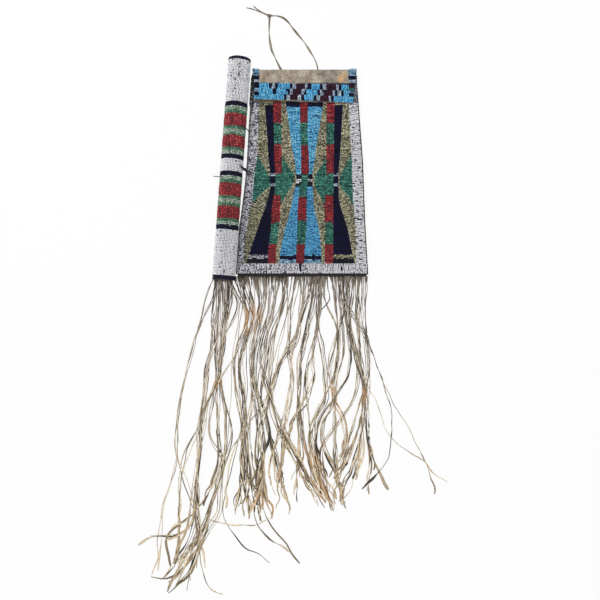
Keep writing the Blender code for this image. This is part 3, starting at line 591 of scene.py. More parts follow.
@dataclass
class Beads:
    """Beads as arrays, or one value for all of them where they share it.

    They have a middle, the directions of the thread and away from the hide, a length, a tone between 0 and 1,
    the number of their glass and a size as a share of the usual radius.
    """

    centre: Array
    thread: Array
    out: Array
    length: Numbers
    tone: Array
    glass: Array | int
    size: Numbers = 1.0

    SIDES: ClassVar[int] = 6
    # Unevenness of the place, the thread's direction and the radius
    SHAKE: ClassVar[float] = 0.00007
    TILT: ClassVar[float] = 0.06
    SPREAD: ClassVar[float] = 0.05
    # The three rings of a bead: places along it, shares of its radius and places along its strip of the map
    RING_PLACES: ClassVar[Array] = np.array([-0.5, 0.0, 0.5])
    RING_SHARES: ClassVar[Array] = np.array([0.62, 1.0, 0.62])
    RING_MAP: ClassVar[Array] = np.array([0.05, 0.5, 0.95])

    def __post_init__(self) -> None:
        """Gives each bead its own directions, length, glass and size."""
        count = len(self.centre)
        for name in ("thread", "out", "length", "glass", "size"):
            value = np.asarray(getattr(self, name))
            shape = (count, 3) if name in ("thread", "out") else (count,)
            setattr(self, name, np.broadcast_to(value, shape).copy())

    def picked(self, chosen: Array) -> "Beads":
        """The chosen beads."""
        return Beads(*(getattr(self, part.name)[chosen] for part in fields(self)))

    @staticmethod
    def joined(parts: Sequence["Beads"]) -> "Beads":
        """Several sets as one."""
        return Beads(*(np.concatenate([getattr(p, part.name) for p in parts]) for part in fields(Beads)))

    def of(self, glass: Glass) -> Array:
        """Which beads have a glass."""
        return self.glass == GLASSES.index(glass)

    def surface(self, rng: Rng) -> Surface:
        """The beads as one mesh.

        Each bead is a barrel of three rings about its thread, half a length before the middle, at it and half
        a length behind it. Its ends are narrower. A point stands cos(angle) radii outwards and sin(angle)
        radii sideways. The own map has one strip for each tone and runs along the bead in it.

        Args:
            rng: source of the small unevenness.

        Returns:
            The surface, with tone and painted end shade per point.
        """
        count, sides = len(self.centre), self.SIDES
        centre = self.centre + rng.normal(0.0, self.SHAKE, (count, 3))
        thread = unit(self.thread + rng.normal(0.0, self.TILT, (count, 3)))
        out = unit(self.out - thread * np.sum(self.out * thread, axis=1, keepdims=True))
        side = np.cross(thread, out)
        radius = BEAD_RADIUS * self.size * (1.0 + self.SPREAD * np.clip(rng.normal(0.0, 1.0, count), -2, 1.5))
        angle = 2 * np.pi * np.arange(sides) / sides
        along = thread[:, None, None] * (self.length[:, None] * self.RING_PLACES)[:, :, None, None]
        reach = (radius[:, None] * self.RING_SHARES)[:, :, None, None]
        round_it = out[:, None, None] * np.cos(angle)[:, None] + side[:, None, None] * np.sin(angle)[:, None]
        points = (centre[:, None, None] + along + reach * round_it).reshape(-1, 3)

        ring = np.arange(sides)
        nxt = (ring + 1) % sides
        band = np.stack([ring, nxt, nxt + sides, ring + sides], -1)
        quads = np.concatenate([band, band + sides])
        caps = np.stack([ring[::-1], ring + 2 * sides])
        first = 3 * sides * np.arange(count)[:, None, None]
        across = np.stack([ring, ring + 1, ring + 1, ring], -1) / sides * 0.8 + 0.1
        rows = (np.tile(self.RING_MAP[[k, k, k + 1, k + 1]], (sides, 1)) for k in range(2))
        quad_map = np.concatenate([np.stack([across, row], -1) for row in rows])
        disc = np.stack([0.5 + 0.35 * np.cos(angle), 0.025 + 0.02 * np.sin(angle)], -1)
        tone = np.clip(np.floor(self.tone * TONES), 0, TONES - 1)

        def strip(places: Array) -> Array:
            """Places moved into the strip of each bead's tone."""
            moved = np.broadcast_to(places, (count, *places.shape)).copy()
            moved[..., 0] = (moved[..., 0] + tone[:, None, None]) / TONES
            return moved.reshape(-1, 2)

        # Each bead's end rings get 1 and its middle ring 0: the share of painted shade at its ends
        values = {"tone": np.repeat((tone + 0.5) / TONES, 3 * sides),
                  "groove": np.tile(np.repeat([1.0, 0.0, 1.0], sides), count)}
        return Surface(points, [(quads + first).reshape(-1, 4), (caps + first).reshape(-1, sides)], values,
                       np.concatenate([strip(quad_map), strip(np.stack([disc[::-1], disc + [0, 0.95]]))]))


def lay_beads(prefix: str, beads: Beads, carrier: Carrier, stands_for: dict[Glass, Sequence[str]],
              rng: Rng) -> list[bpy.types.Object]:
    """Makes one piece for each glass among the beads."""
    return [put(f"{prefix}_{glass.name.lower()}", beads.picked(beads.of(glass)).surface(rng), glass, carrier,
                stands_for.get(glass, ()))
            for glass in GLASSES if beads.of(glass).any()]


@dataclass(frozen=True)
class Studio:
    """The camera straight above the bag, the pale floor and the soft light."""

    place: Point = (-0.0037, -0.1588, 0.82)
    lens: float = 39.4
    sensor: float = 36.0
    width: int = 600
    floor_side: float = 14.0
    floor_height: float = -0.0002
    floor_grey: float = 0.90
    glow_share: float = 0.90
    sky_strength: float = 0.50
    aim: Point = (0.0, -0.15, 0.0)
    # Lamps: name, place, side and power
    lamps: Sequence[tuple[str, Point, float, float]] = (("key", (-0.8, 0.8, 1.5), 0.8, 20.0),
                                                        ("fill", (0.9, -0.9, 1.5), 1.6, 7.0))

    def at(self, across: Numbers, down: Numbers, height: Numbers) -> Array:
        """Points at a height that show at places of the picture.

        A point's offset from the camera's axis is its pixels from the picture's middle times the width of one
        pixel at its height.
        """
        step = (self.place[2] - np.asarray(height)) * self.sensor / self.lens / self.width
        x = self.place[0] + (np.asarray(across) - self.width / 2) * step
        y = self.place[1] + (self.width / 2 - np.asarray(down)) * step
        return np.stack(np.broadcast_arrays(x, y, height), axis=-1)

    def build(self) -> None:
        """Adds the camera, the floor and the lights."""
        scene = bpy.context.scene
        camera = bpy.data.objects.new("camera", bpy.data.cameras.new("camera"))
        camera.location = self.place
        camera.data.lens = self.lens
        camera.data.sensor_width = self.sensor
        scene.collection.objects.link(camera)
        scene.camera = camera
        scene.view_settings.view_transform = "Standard"

        half = self.floor_side / 2
        mesh = bpy.data.meshes.new("floor")
        corners = ((-half, -half), (half, -half), (half, half), (-half, half))
        mesh.from_pydata([(*corner, self.floor_height) for corner in corners], [], [(0, 1, 2, 3)])
        mesh.materials.append(self.floor_material())
        floor = bpy.data.objects.new("floor", mesh)
        scene.collection.objects.link(floor)

        scene.world = self.sky()
        for name, place, side, power in self.lamps:
            self.lamp(name, place, side, power)

    def sky(self) -> bpy.types.World:
        """A world that lights the bag plainly and shows white to the eye and in gloss."""
        world = bpy.data.worlds.new("studio")
        world.use_nodes = True
        nodes = Nodes(world.node_tree)
        light = world.node_tree.nodes["Background"]
        white = nodes.node("ShaderNodeBackground")
        for background, strength in ((light, self.sky_strength), (white, 1.0)):
            background.inputs["Color"].default_value = (1.0, 1.0, 1.0, 1.0)
            background.inputs["Strength"].default_value = strength
        nodes.join(nodes.layered(nodes.seen(), light.outputs[0], white.outputs[0]),
                   world.node_tree.nodes["World Output"].inputs["Surface"])
        return world

    def lamp(self, name: str, place: Point, side: float, power: float) -> None:
        """Adds a square soft light that looks at the bag.

        Args:
            name: its name.
            place: where it hangs.
            side: length of its side.
            power: its power in watts.
        """
        light = bpy.data.lights.new(name, "AREA")
        light.size = side
        light.energy = power
        lamp = bpy.data.objects.new(name, light)
        lamp.location = place
        x, y, z = np.array(place) - np.array(self.aim)
        lamp.rotation_euler = (float(np.arctan2(np.hypot(x, y), z)), 0.0, float(np.arctan2(y, x) + np.pi / 2))
        bpy.context.scene.collection.objects.link(lamp)

    def floor_material(self) -> bpy.types.Material:
        """White to the eye with a trace of the bag's shadow, and plain white for the light."""
        shader = Shader("floor")
        shader.tree.nodes.remove(shader.surface)
        paper = shader.node("ShaderNodeBsdfDiffuse", {"Color": (*(self.floor_grey,) * 3, 1.0)})
        glow = shader.node("ShaderNodeEmission")
        part = shader.node("ShaderNodeMath", {0: shader.seen(), 1: self.glow_share}, operation="MULTIPLY")
        shader.join(shader.layered(part.outputs[0], paper.outputs[0], glow.outputs[0]),
                    shader.out.inputs["Surface"])
        return shader.material


STUDIO = Studio()
BEAD_LEVEL = 0.0095


def level(down: Numbers) -> Array:
    """The y of a place so far down the picture, at the height of the beads."""
    return STUDIO.at(0.0, down, BEAD_LEVEL)[..., 1]


def aside(across: Numbers) -> Array:
    """The x of a place so far across the picture, at the height of the beads."""
    return STUDIO.at(across, 0.0, BEAD_LEVEL)[..., 0]


@dataclass(frozen=True, eq=False)
class Line:
    """A line down the bag: how far to the right it stands at each y, from the bottom up."""

    y: Array
    x: Array

    @staticmethod
    def seen(places: Places) -> "Line":
        """The line through (down, across) places of the picture at the height of the beads."""
        down, across = np.array(places)[::-1].T
        return Line(level(down), aside(across))

    def at(self, y: Array) -> Array:
        """How far to the right the line stands at each y."""
        return np.interp(y, self.y, self.x)


@dataclass(frozen=True)
class Outline:
    """The pouch's outline: the width grows evenly down the bag and the middle drifts a little.

    The panels of hide end inside it, by an inset on each side, where the rolled edge and the binding start.
    """

    top_width: float = 0.129
    bottom_width: float = 0.165
    drift: Places = ((0.0, 0.0016), (0.45, 0.0021), (0.75, -0.0005), (1.0, -0.0013))
    sway: Places = ((-0.128, -0.0002), (-0.10, -0.0006), (-0.071, -0.0008), (-0.054, 0.0), (-0.023, 0.0009),
                    (-0.0105, 0.0009), (0.05, 0.0))
    left_inset: float = 0.0029
    right_inset: float = 0.0019
    # The billows: their height, where they die out, above and below, and over which length
    swell: float = 0.0004
    calm_above: float = 0.092
    calm_below: float = -0.127
    calming: float = 0.03

    def edge(self, share: Numbers, y: Numbers) -> Array:
        """The x at a share of the width, from 0 at the left edge, which sways, to 1 at the right one."""
        v = 0.5 - np.asarray(y) / BAG_LENGTH
        middle = np.interp(v, *zip(*self.drift)) + (1 - share) * np.interp(y, *zip(*self.sway))
        return middle + (share - 0.5) * (self.top_width + (self.bottom_width - self.top_width) * v)

    def left_hide(self, y: Numbers) -> Array:
        """The x where the panels end on the left."""
        return self.edge(0.0, y) + self.left_inset

    def right_hide(self, y: Numbers) -> Array:
        """The x where the panels end on the right."""
        return self.edge(1.0, y) - self.right_inset

    def billow(self, x: Array, y: Array) -> Array:
        """How far the front lies above or below flat.

        Three slow waves, a sine times a cosine, a sine and a cosine, are added and die out towards the edges.

        Args:
            x: places across the bag.
            y: places along it.

        Returns:
            The height of each place.
        """
        low, high = self.edge(0.0, y), self.edge(1.0, y)
        side = np.sin(np.pi * np.clip((x - low) / (high - low), 0.0, 1.0)) ** 0.7
        end = ease((self.calm_above - y) / self.calming) * ease((y - self.calm_below) / self.calming)
        wave = (np.sin(61 * x + 1.1) * np.cos(47 * y - 0.6) + 0.6 * np.sin(118 * x - 83 * y)
                + 0.5 * np.cos(97 * y + 35 * x + 2.0))
        return self.swell * side * end * wave


OUTLINE = Outline()


@dataclass(frozen=True)
class Ground:
    """What beads are sewn on: the hide's height, whether it billows as the front does, and their size."""

    top: float = FRONT_TOP
    billows: bool = True
    size: float = 1.0

    def centres(self, x: Array, y: Array, share: Array) -> Array:
        """The middles of beads on it: half a bead over the hide, and higher in the middle of a string."""
        rise = OUTLINE.billow(x, y) if self.billows else 0.0
        height = self.top + BEAD_RADIUS * self.size + LANE_CROWN * np.sin(np.pi * share) + rise
        return np.stack([x, y, height], -1)


# Strings of beads


def evenly(start: float, stop: float, pitch: float) -> Array:
    """Places from start to stop, about one pitch apart and half a step inside both."""
    count = max(1, round(abs(stop - start) / pitch))
    return start + (stop - start) * (np.arange(count) + 0.5) / count


def strung(spans: Array, size: float, shortest: float = 0.0) -> tuple[Array, Array, Array]:
    """Beads on strings: each string holds as many as its length has bead pitches, spread evenly.

    Args:
        spans: the strings' lengths.
        size: share of the usual bead size.
        shortest: length in bead pitches that a string has to pass to hold a bead.

    Returns:
        The number of each bead's string, its share of the way along it, and each string's room for a bead.
    """
    pitch = BEAD_PITCH * size
    count = np.maximum(1, np.rint(spans / pitch)).astype(int)
    place = np.arange(count.max())
    held = (place < count[:, None]) & (spans > shortest * pitch)[:, None]
    string = np.broadcast_to(np.arange(len(spans))[:, None], held.shape)[held]
    return string, ((place + 0.5) / count[:, None])[held], spans / count


def glass_at(place: Array, ends: Array, bands: Bands) -> Array:
    """The glass of beads: the first of the bands whose end lies beyond the bead."""
    numbers = np.array([GLASSES.index(glass) for _, glass in bands])
    return numbers[np.clip(np.searchsorted(ends, place), 0, len(bands) - 1)]


def ends_of(bands: Bands) -> Array:
    """Where the bands end, in pixels."""
    return np.array([end for end, _ in bands])


def uneven_tone(strings: Array, rng: Rng) -> Array:
    """Tones between 0 and 1 for beads on strings: five parts each bead's own, two its string's."""
    per_string = rng.uniform(0.0, 1.0, int(strings.max()) + 1)
    return np.clip((5 * rng.uniform(-0.1, 1.1, len(strings)) + 2 * per_string[strings]) / 7, 0.0, 1.0)


def wavering(place: Array, strings: Array, rng: Rng) -> Array:
    """How far beads stand off their string's straight line: a slow sine along it."""
    count = int(strings.max()) + 1
    phase = rng.uniform(0.0, 2 * np.pi, count)
    pace = rng.uniform(180.0, 600.0, count)
    return 0.00022 * np.sin(place * pace[strings] + phase[strings])


def strung_across(left: Line, right: Line, top: float, bottom: float, bands: Bands, rng: Rng,
                  ground: Ground = Ground(), slanted: bool = False) -> Beads:
    """A field of beads strung from its left line to its right one, string under string.

    The strings stand one row pitch apart. In a slanted field they turn square to the field's own way.

    Args:
        left: the field's left line.
        right: its right line.
        top: where it starts, down the picture.
        bottom: where it ends.
        bands: its glasses from the top.
        rng: source of the unevenness.
        ground: what it is sewn on.
        slanted: whether the strings follow the field's way.

    Returns:
        The beads.
    """
    y = evenly(float(level(top)), float(level(bottom)), ROW_PITCH * ground.size)
    width = right.at(y) - left.at(y)
    middle = (right.at(y) + left.at(y)) / 2
    lean = np.clip(np.gradient(middle, y), -0.9, 0.9) if slanted else np.zeros(len(y))
    row, share, room = strung(width, ground.size, 0.55)
    y_bead = y[row] - lean[row] * (share - 0.5) * width[row]
    x_bead = left.at(y_bead) + share * (right.at(y_bead) - left.at(y_bead))
    y_bead = y_bead + wavering(x_bead, row, rng)
    thread = unit(np.stack([np.ones(len(row)), -lean[row], np.zeros(len(row))], -1))
    length = BEAD_FILL * room[row] * np.sqrt(1 + lean[row] ** 2)
    return Beads(ground.centres(x_bead, y_bead, share), thread, UP, length, uneven_tone(row, rng),
                 glass_at(-y_bead, -level(ends_of(bands)), bands), ground.size)


def strung_down(tops: Places, bottoms: Places, left: float, right: float, bands: Bands,
                rng: Rng, ground: Ground = Ground()) -> Beads:
    """A lane of beads strung from its upper line to its lower one, string beside string.

    Args:
        tops: (across, down) places of the upper line.
        bottoms: places of the lower line.
        left: where the lane starts, across the picture.
        right: where it ends.
        bands: its glasses from the left.
        rng: source of the unevenness.
        ground: what it is sewn on.

    Returns:
        The beads.
    """
    x = evenly(float(aside(left)), float(aside(right)), ROW_PITCH * ground.size)
    high, low = (np.interp(x, aside(across), level(down)) for across, down in (zip(*tops), zip(*bottoms)))
    column, share, room = strung(high - low, ground.size)
    x_bead, y_bead = x[column], high[column] - share * (high - low)[column]
    x_bead = x_bead + wavering(y_bead, column, rng)
    return Beads(ground.centres(x_bead, y_bead, share), DOWN, UP, BEAD_FILL * room[column],
                 uneven_tone(column, rng), glass_at(x_bead, aside(ends_of(bands)), bands), ground.size)


def salted(beads: Beads, dark: Numbers, rng: Rng) -> Beads:
    """Makes some beads dark."""
    is_dark = rng.uniform(0.0, 1.0, len(beads.tone)) < dark
    beads.tone = np.where(is_dark, 0.2 * beads.tone, 0.32 + 0.68 * beads.tone)
    return beads


def worn(beads: Beads, share: float, rng: Rng) -> Beads:
    """Leaves out runs of two to four neighbours on a string."""
    starts = rng.uniform(0.0, 1.0, len(beads.tone)) < share
    run = rng.integers(2, 5, len(starts))
    missing = np.any([np.roll(starts & (run > step), step) for step in range(4)], axis=0)
    return beads.picked(~missing)


# The pouch


@dataclass
class FrontBeadwork:
    """The beaded front: upright fields of colour between measured lines, and the white border round them."""

    seed: int = 11
    top: float = 100.6
    bottom: float = 263.4
    border_end: float = 273.4
    # The glasses of the red bars and of the middle one, red and green in turn: where each ends
    bar_ends: Sequence[float] = (122.6, 144.3, 173.8, 195.4, 222.7, 244.0, 264.0)
    centre_ends: Sequence[float] = (122.7, 145.3, 174.7, 197.3, 220.7, 243.7, 264.0)
    # The border's left side steps in beside the flap: by how much, down to where and over which length
    flap_step: float = 0.0026
    flap_step_end: float = 110.0
    flap_step_length: float = 8.0
    # The border beside the flap, and how far it reaches
    beside_flap: Places = ((70, 357.4), (76, 356.5), (85, 355.1), (92, 354.0), (103, 353.1))
    beside_span: tuple[float, float] = (76.0, 102.1)
    low_span: tuple[float, float] = (237.2, 367.0)
    wear: float = 0.006
    # Painted shadow of the flap on the beads below its edge: down to where, over which length, and how dark
    flap_shadow_end: float = 103.6
    flap_shadow_length: float = 0.0015
    flap_shadow_depth: float = 0.75
    # The lines between the fields as (down, across) places, from the left border to the right one
    lines: dict[str, Places] = field(default_factory=lambda: {
        "border_left": ((100, 258.8), (130, 258.3), (160, 257), (180, 253.8), (200, 252.5), (215, 249),
            (227, 247), (240, 245.4), (263, 243.6)),
        "slope_outer_left": ((100, 258.8), (130, 258.3), (154, 257.2), (177.5, 269.9), (186, 270),
            (197, 257.9), (203, 252.2), (215, 249), (227, 247), (240, 245.4), (263, 243.6)),
        "khaki_navy_left": ((100, 264.6), (134, 267.3), (155, 268.3), (171, 270), (180, 270.5), (189, 270.2),
            (206, 266.3), (218, 261.2), (263, 246.2)),
        "navy_bar_left": ((100, 273), (155, 274.2), (180, 275.6), (189, 275), (206, 271.9), (229, 270.9),
            (250, 268.2), (263, 268)),
        "bar_khaki_left": ((100, 281.2), (171, 281.8), (218, 280), (250, 276.1), (263, 276)),
        "slope_inner_left": ((100, 281.2), (146, 281.4), (156.5, 282), (176, 295.1), (184, 293),
            (204.4, 280.4), (218, 280), (250, 276.1), (263, 276)),
        "khaki_blue_left": ((100, 285.2), (110, 287), (146, 291.7), (163, 295.1), (180, 296.6), (218, 288.6),
            (229, 285), (250, 280.4), (263, 279)),
        "blue_bar_left": ((100, 300), (134, 300.4), (155, 301.3), (180, 301.2), (189, 299.4), (206, 298),
            (263, 296)),
        "blue_bar_right": ((100, 308), (134, 307.3), (155, 308.8), (171, 309), (189, 306.9), (206, 306.4),
            (229, 306.6), (250, 304.5), (263, 304.2)),
        "blue_khaki_right": ((100, 323.4), (110, 322.2), (146, 316.2), (163, 314.3), (171, 312.7),
            (180, 312.4), (206, 313.8), (229, 319), (250, 321.2), (263, 321.4)),
        "slope_inner_right": ((100, 326.8), (157.8, 326.5), (175.2, 315.2), (184, 314), (193, 318.2),
            (204, 324.5), (218, 324.7), (229, 325.6), (250, 324.8), (263, 325)),
        "khaki_bar_right": ((100, 326.8), (171, 326.5), (206, 324.5), (218, 324.7), (229, 325.6),
            (250, 324.8), (263, 325)),
        "bar_navy_right": ((100, 334.7), (206, 333.4), (263, 333.2)),
        "navy_khaki_right": ((100, 343.2), (155, 340), (171, 338.4), (197, 338.5), (206, 340.3), (229, 347.8),
            (250, 351.6), (263, 354.9)),
        "slope_outer_right": ((100, 348.4), (154.5, 351.4), (177.3, 339.4), (184, 339.6), (189, 341.6),
            (197, 349), (205.4, 353), (230, 356), (263, 356.2)),
        "border_right": ((100, 348.4), (165, 352), (200, 352.9), (230, 356), (263, 356.2)),
    })
    # Missing beads as boxes in the picture: left, top, right, bottom
    gaps: Sequence[tuple[float, float, float, float]] = (
        (352.5, 126.2, 357, 127.4), (354, 159, 357, 160.2), (358, 167, 361, 168.2),
        (355, 200.6, 358.5, 201.8), (360, 240.4, 363.5, 241.6), (359, 252, 362.5, 253.2),
        (299.5, 263.5, 301.6, 270.5))

    def colouring(self) -> list[tuple[Bands, bool]]:
        """The fields between the lines: each one's glasses from the top, and whether its strings slant."""
        g = Glass
        bar, centre = (tuple(zip(ends, cycle((g.RED, g.GREEN))))
                       for ends in (self.bar_ends, self.centre_ends))
        navy = ((105.2, g.KHAKI), (173.7, g.NAVY), (175.8, g.GREY), (183.8, g.NAVY), (187.0, g.GREY),
                (254.8, g.NAVY))
        blue = ((106.5, g.NAVY), (174.0, g.BLUE), (178.7, g.BLACK), (182.8, g.WHITE), (187.0, g.BLACK),
                (255.4, g.BLUE), (259.6, g.NAVY), (264.0, g.PALE))
        green, khaki = (((264.0, g.GREEN),), False), (((264.0, g.KHAKI),), True)

        def side(line_below: Glass) -> list[tuple[Bands, bool]]:
            """The seven fields from a border inwards, with the glass of the line below the navy field."""
            ends = (*navy, (258.3, line_below), (264.0, g.BLACK))
            return [green, khaki, (ends, False), (bar, False), green, khaki, (blue, False)]

        return [*side(g.SPECKLED), (centre, False), *reversed(side(g.KHAKI))]

    def border_sides(self, rng: Rng) -> list[Beads]:
        """The border's left side, darker down the bag, its right side and the one beside the flap.

        Args:
            rng: source of the unevenness.

        Returns:
            The three sets of beads.
        """
        fine = Ground(size=FINE)
        steps = np.linspace(100.0, 263.4, 12)[::-1]
        y = level(steps)
        step_in = self.flap_step * ease((self.flap_step_end - steps) / self.flap_step_length)
        outer_left = Line(y, OUTLINE.left_hide(y) + step_in)
        outer_right = Line(y, OUTLINE.right_hide(y))
        inner_left, inner_right = (Line.seen(self.lines[name]) for name in ("border_left", "border_right"))
        start, stop = self.beside_span
        left = strung_across(outer_left, inner_left, self.top, self.bottom, ALL_WHITE, rng, fine)
        right = strung_across(inner_right, outer_right, stop, self.bottom, ALL_WHITE, rng, fine)
        beside = strung_across(Line.seen(self.beside_flap), outer_right, start, stop, ALL_WHITE, rng, fine)
        down = 0.5 - left.centre[:, 1] / BAG_LENGTH
        left = salted(left, 0.26 + 0.14 * down, rng)
        left.tone *= 0.74 - 0.10 * down
        right = worn(salted(right, 0.09, rng), self.wear, rng)
        return [left, right, salted(beside, 0.14, rng)]

    def border_below(self, rng: Rng) -> Beads:
        """The border along the bottom, which is darker towards the left.

        Args:
            rng: source of the unevenness.

        Returns:
            The beads.
        """
        y_low = float(level(self.border_end))
        tops, bottoms = (((200, down), (400, down)) for down in (self.bottom, self.border_end))
        low = strung_down(tops, bottoms, *self.low_span, ALL_WHITE, rng, Ground(size=FINE))
        x = low.centre[:, 0]
        low = low.picked((x > OUTLINE.left_hide(y_low)) & (x < OUTLINE.right_hide(y_low)))

        def share() -> Array:
            """How far to the right the beads lie, as a share of the width."""
            return np.clip((low.centre[:, 0] - OUTLINE.edge(0.0, y_low)) / OUTLINE.bottom_width, 0, 1)

        low = worn(salted(low, 0.26 - 0.18 * share(), rng), self.wear, rng)
        low.tone *= 0.82 + 0.18 * share()
        return low

    def border(self, rng: Rng) -> Beads:
        """The white lane down both sides and along the bottom, less the beads that are missing.

        Args:
            rng: source of the unevenness.

        Returns:
            The beads.
        """
        whole = Beads.joined([*self.border_sides(rng), self.border_below(rng)])
        x, y, _ = whole.centre.T
        missing = np.any([(x > aside(a)) & (y < level(b)) & (x < aside(c)) & (y > level(d))
                          for a, b, c, d in self.gaps], axis=0)
        return whole.picked(~missing)

    def build(self) -> None:
        """Sews the fields and the border, and makes a piece of each colour."""
        rng = np.random.default_rng(self.seed)
        lines = [Line.seen(places) for places in self.lines.values()]
        parts = [strung_across(left, right, self.top, self.bottom, bands, rng, slanted=slanted)
                 for left, right, (bands, slanted) in zip(lines, lines[1:], self.colouring())]
        beads = Beads.joined([*parts, self.border(rng)])
        x, y, _ = beads.centre.T
        # Painted shadow of the flap: the beads just below its lower edge are darkened
        beads.tone *= 1 - self.flap_shadow_depth * ease((y - level(self.flap_shadow_end)) / self.flap_shadow_length)
        lower_blue = beads.of(Glass.BLUE) & (y < level(180))
        middle_red = beads.of(Glass.RED) & (x > aside(296)) & (x < aside(310))
        low_khaki = beads.of(Glass.KHAKI) & (x < aside(262)) & (y < level(205))
        for chosen, dull in ((lower_blue, 0.66), (middle_red, 0.78), (low_khaki, 0.72)):
            beads.tone[chosen] *= dull
        lay_beads("front", beads, Carrier.BAG, {
            Glass.WHITE: ("white_border",),
            Glass.KHAKI: [f"khaki_{a}_{b}_{c}" for a in ("outer", "inner") for b in ("left", "right")
                          for c in ("upper", "lower")],
            Glass.NAVY: ("navy_left", "navy_right"),
            Glass.BLUE: ("blue_left", "blue_right"),
            Glass.GREEN: [*(f"green_{a}_{b}" for a in ("outer", "inner") for b in ("left", "right")),
                          *(f"green_{a}_{b}" for a in ("left", "right") for b in ("upper", "lower")),
                          *(f"green_centre_{a}" for a in ("upper", "waist", "lower"))],
            Glass.RED: ("bar_left", "bar_centre", "bar_right"),
        }, rng)


@dataclass
class PouchHide:
    """The two panels of hide, the dark binding down the right side and the core and beads of the left one."""

    seed: int = 23
    rows: int = 90
    columns: int = 56
    top: float = FOLD_Y - 0.0003
    bottom: float = -0.127
    # How far the panels' sides and their lower edge wander
    side_wander: float = 0.0002
    foot_wander: float = 0.0003
    roll_width: float = 0.0026
    roll_size: float = 0.9
    binding_width: float = 0.0016
    # The stitches: their distance, how deep they draw the binding in, the thread's half width, how much they
    # slant, and how far the thread runs in over the panel
    stitch_pitch: float = 0.0042
    pinch: float = 0.0006
    thread: float = 0.00024
    stitch_slant: float = 0.0007
    stitch_end: float = 0.0014

    def panel(self, name: str, low: float, finish: Leather, billows: bool, waves: float) -> None:
        """Makes one panel.

        A grid over the outline, whose edges wander a little, gets half the thickness above and half below.
        The front panel is in shadow where beads or the flap's side cover it.

        Args:
            name: the CAD node that it replaces.
            low: height of its underside.
            finish: its hide.
            billows: whether it follows the front's slow waves.
            waves: how far it stands off in small waves of its own.
        """
        rng = np.random.default_rng(self.seed + len(name))
        y = np.linspace(self.top, self.bottom, self.rows)[:, None]
        share = np.linspace(0.0, 1.0, self.columns)
        left = OUTLINE.left_hide(y) + self.side_wander * slow_noise(self.rows, 30, rng)[:, None]
        right = OUTLINE.right_hide(y) + self.side_wander * slow_noise(self.rows, 30, rng)[:, None]
        x = left + (right - left) * share
        y = y + self.foot_wander * slow_noise(self.columns, 24, rng) * ease((self.bottom + 0.02 - y) / 0.02)
        z = np.full(x.shape, low + HIDE / 2)
        if billows:
            z = z + OUTLINE.billow(x, y)
        inside = np.sin(np.pi * share) * ease((0.118 - y) / 0.02)
        z = z + waves * inside * (0.5 + 0.5 * np.sin(90 * x + 40 * y) * np.cos(70 * y - 30 * x))
        surface = sheet_between(np.stack([x, y, z + HIDE / 2], -1), np.stack([x, y, z - HIDE / 2], -1))
        px, py, pz = surface.points.T
        under_beads = np.maximum(ease((0.0885 - py) / 0.0012), ease((px - aside(354.0)) / 0.001))
        surface.values["covered"] = under_beads * billows * (pz > low + HIDE / 2 - 0.0006)
        put(f"{name}_hide", surface, finish, stands_for=(name,))

    def side(self, name: str, share: float, width: float, inset: float, finish: Leather, nodes: Sequence[str],
             pinch: float) -> None:
        """Makes the strip that closes one side.

        Its section is half an oval that bulges outwards from the panels' edges, pinched at every stitch.

        Args:
            name: name of the piece.
            share: 0 for the left side and 1 for the right one.
            width: how far it reaches from the panels to the outer edge.
            inset: how far its outer edge stays inside the outline.
            finish: its hide.
            nodes: the CAD nodes that it replaces.
            pinch: how deep a stitch draws it in.
        """
        points_per_stitch = 6
        count = points_per_stitch * int((self.top - self.bottom) / self.stitch_pitch)
        y = np.linspace(self.top, self.bottom - 0.0002, count)
        outward = 1.0 if share else -1.0
        outer = OUTLINE.edge(share, y) - outward * inset
        draw = pinch * np.clip(np.cos(2 * np.pi * y / self.stitch_pitch), 0.0, 1.0) ** 3
        angle = np.linspace(-np.pi / 2, np.pi / 2, 9)
        tall = FRONT_TOP / 2
        x = outer[:, None] - outward * (width - (width - draw)[:, None] * np.cos(angle))
        z = np.broadcast_to(tall + tall * np.sin(angle), x.shape)
        bulge = np.stack([x, np.broadcast_to(y[:, None], x.shape), z], -1)
        inner, foot = (np.stack([outer - outward * (width + 0.0006), y, np.full(count, height)], -1)[:, None]
                       for height in (FRONT_TOP - 0.0004, 0.0004))
        rings = np.concatenate([bulge, inner, foot], 1)
        if share:
            rings = rings[:, ::-1]
        # Darker where each stitch draws the strip in: painted shade in those creases
        mark = np.repeat(draw / max(pinch, 1e-9), rings.shape[1])
        put(name, lofted(rings).marked(mark), finish, stands_for=nodes)

    def stitches(self) -> None:
        """Sews the binding on: at each pinch a thread goes over it from one panel round to the other.

        It follows the pinched half oval, cos(angle) outwards and sin(angle) up, and slants a little.
        """
        rng = np.random.default_rng(self.seed + 1)
        angle = np.linspace(-np.pi / 2, np.pi / 2, 11)
        tall = FRONT_TOP / 2
        parts = []
        lowest = int(np.ceil(self.bottom / self.stitch_pitch))
        for number in range(lowest, int((FOLD_Y - 0.001) / self.stitch_pitch)):
            y = number * self.stitch_pitch + rng.normal(0.0, 0.0002)
            lean = self.stitch_slant + rng.normal(0.0, 0.0002)
            inside = float(OUTLINE.edge(1.0, y)) - self.binding_width
            x = inside + (self.binding_width - self.pinch + 0.0001) * np.cos(angle)
            z = np.clip(tall + tall * np.sin(angle), self.thread, FRONT_TOP)
            arc = np.stack([x, y + lean * np.sin(angle), z], -1)
            first, last = ([[inside - self.stitch_end, y + side * 1.4 * lean, height]]
                           for side, height in ((-1, self.thread), (1, FRONT_TOP + 0.0001)))
            path = np.concatenate([first, arc, last])
            parts.append(swept(path, -DOWN, self.thread * 1.2, self.thread).marked(0.2))
        put("right_edge_thread", Surface.joined(parts), Leather.LACE)
        LOG.info("right edge: %d stitches", len(parts))

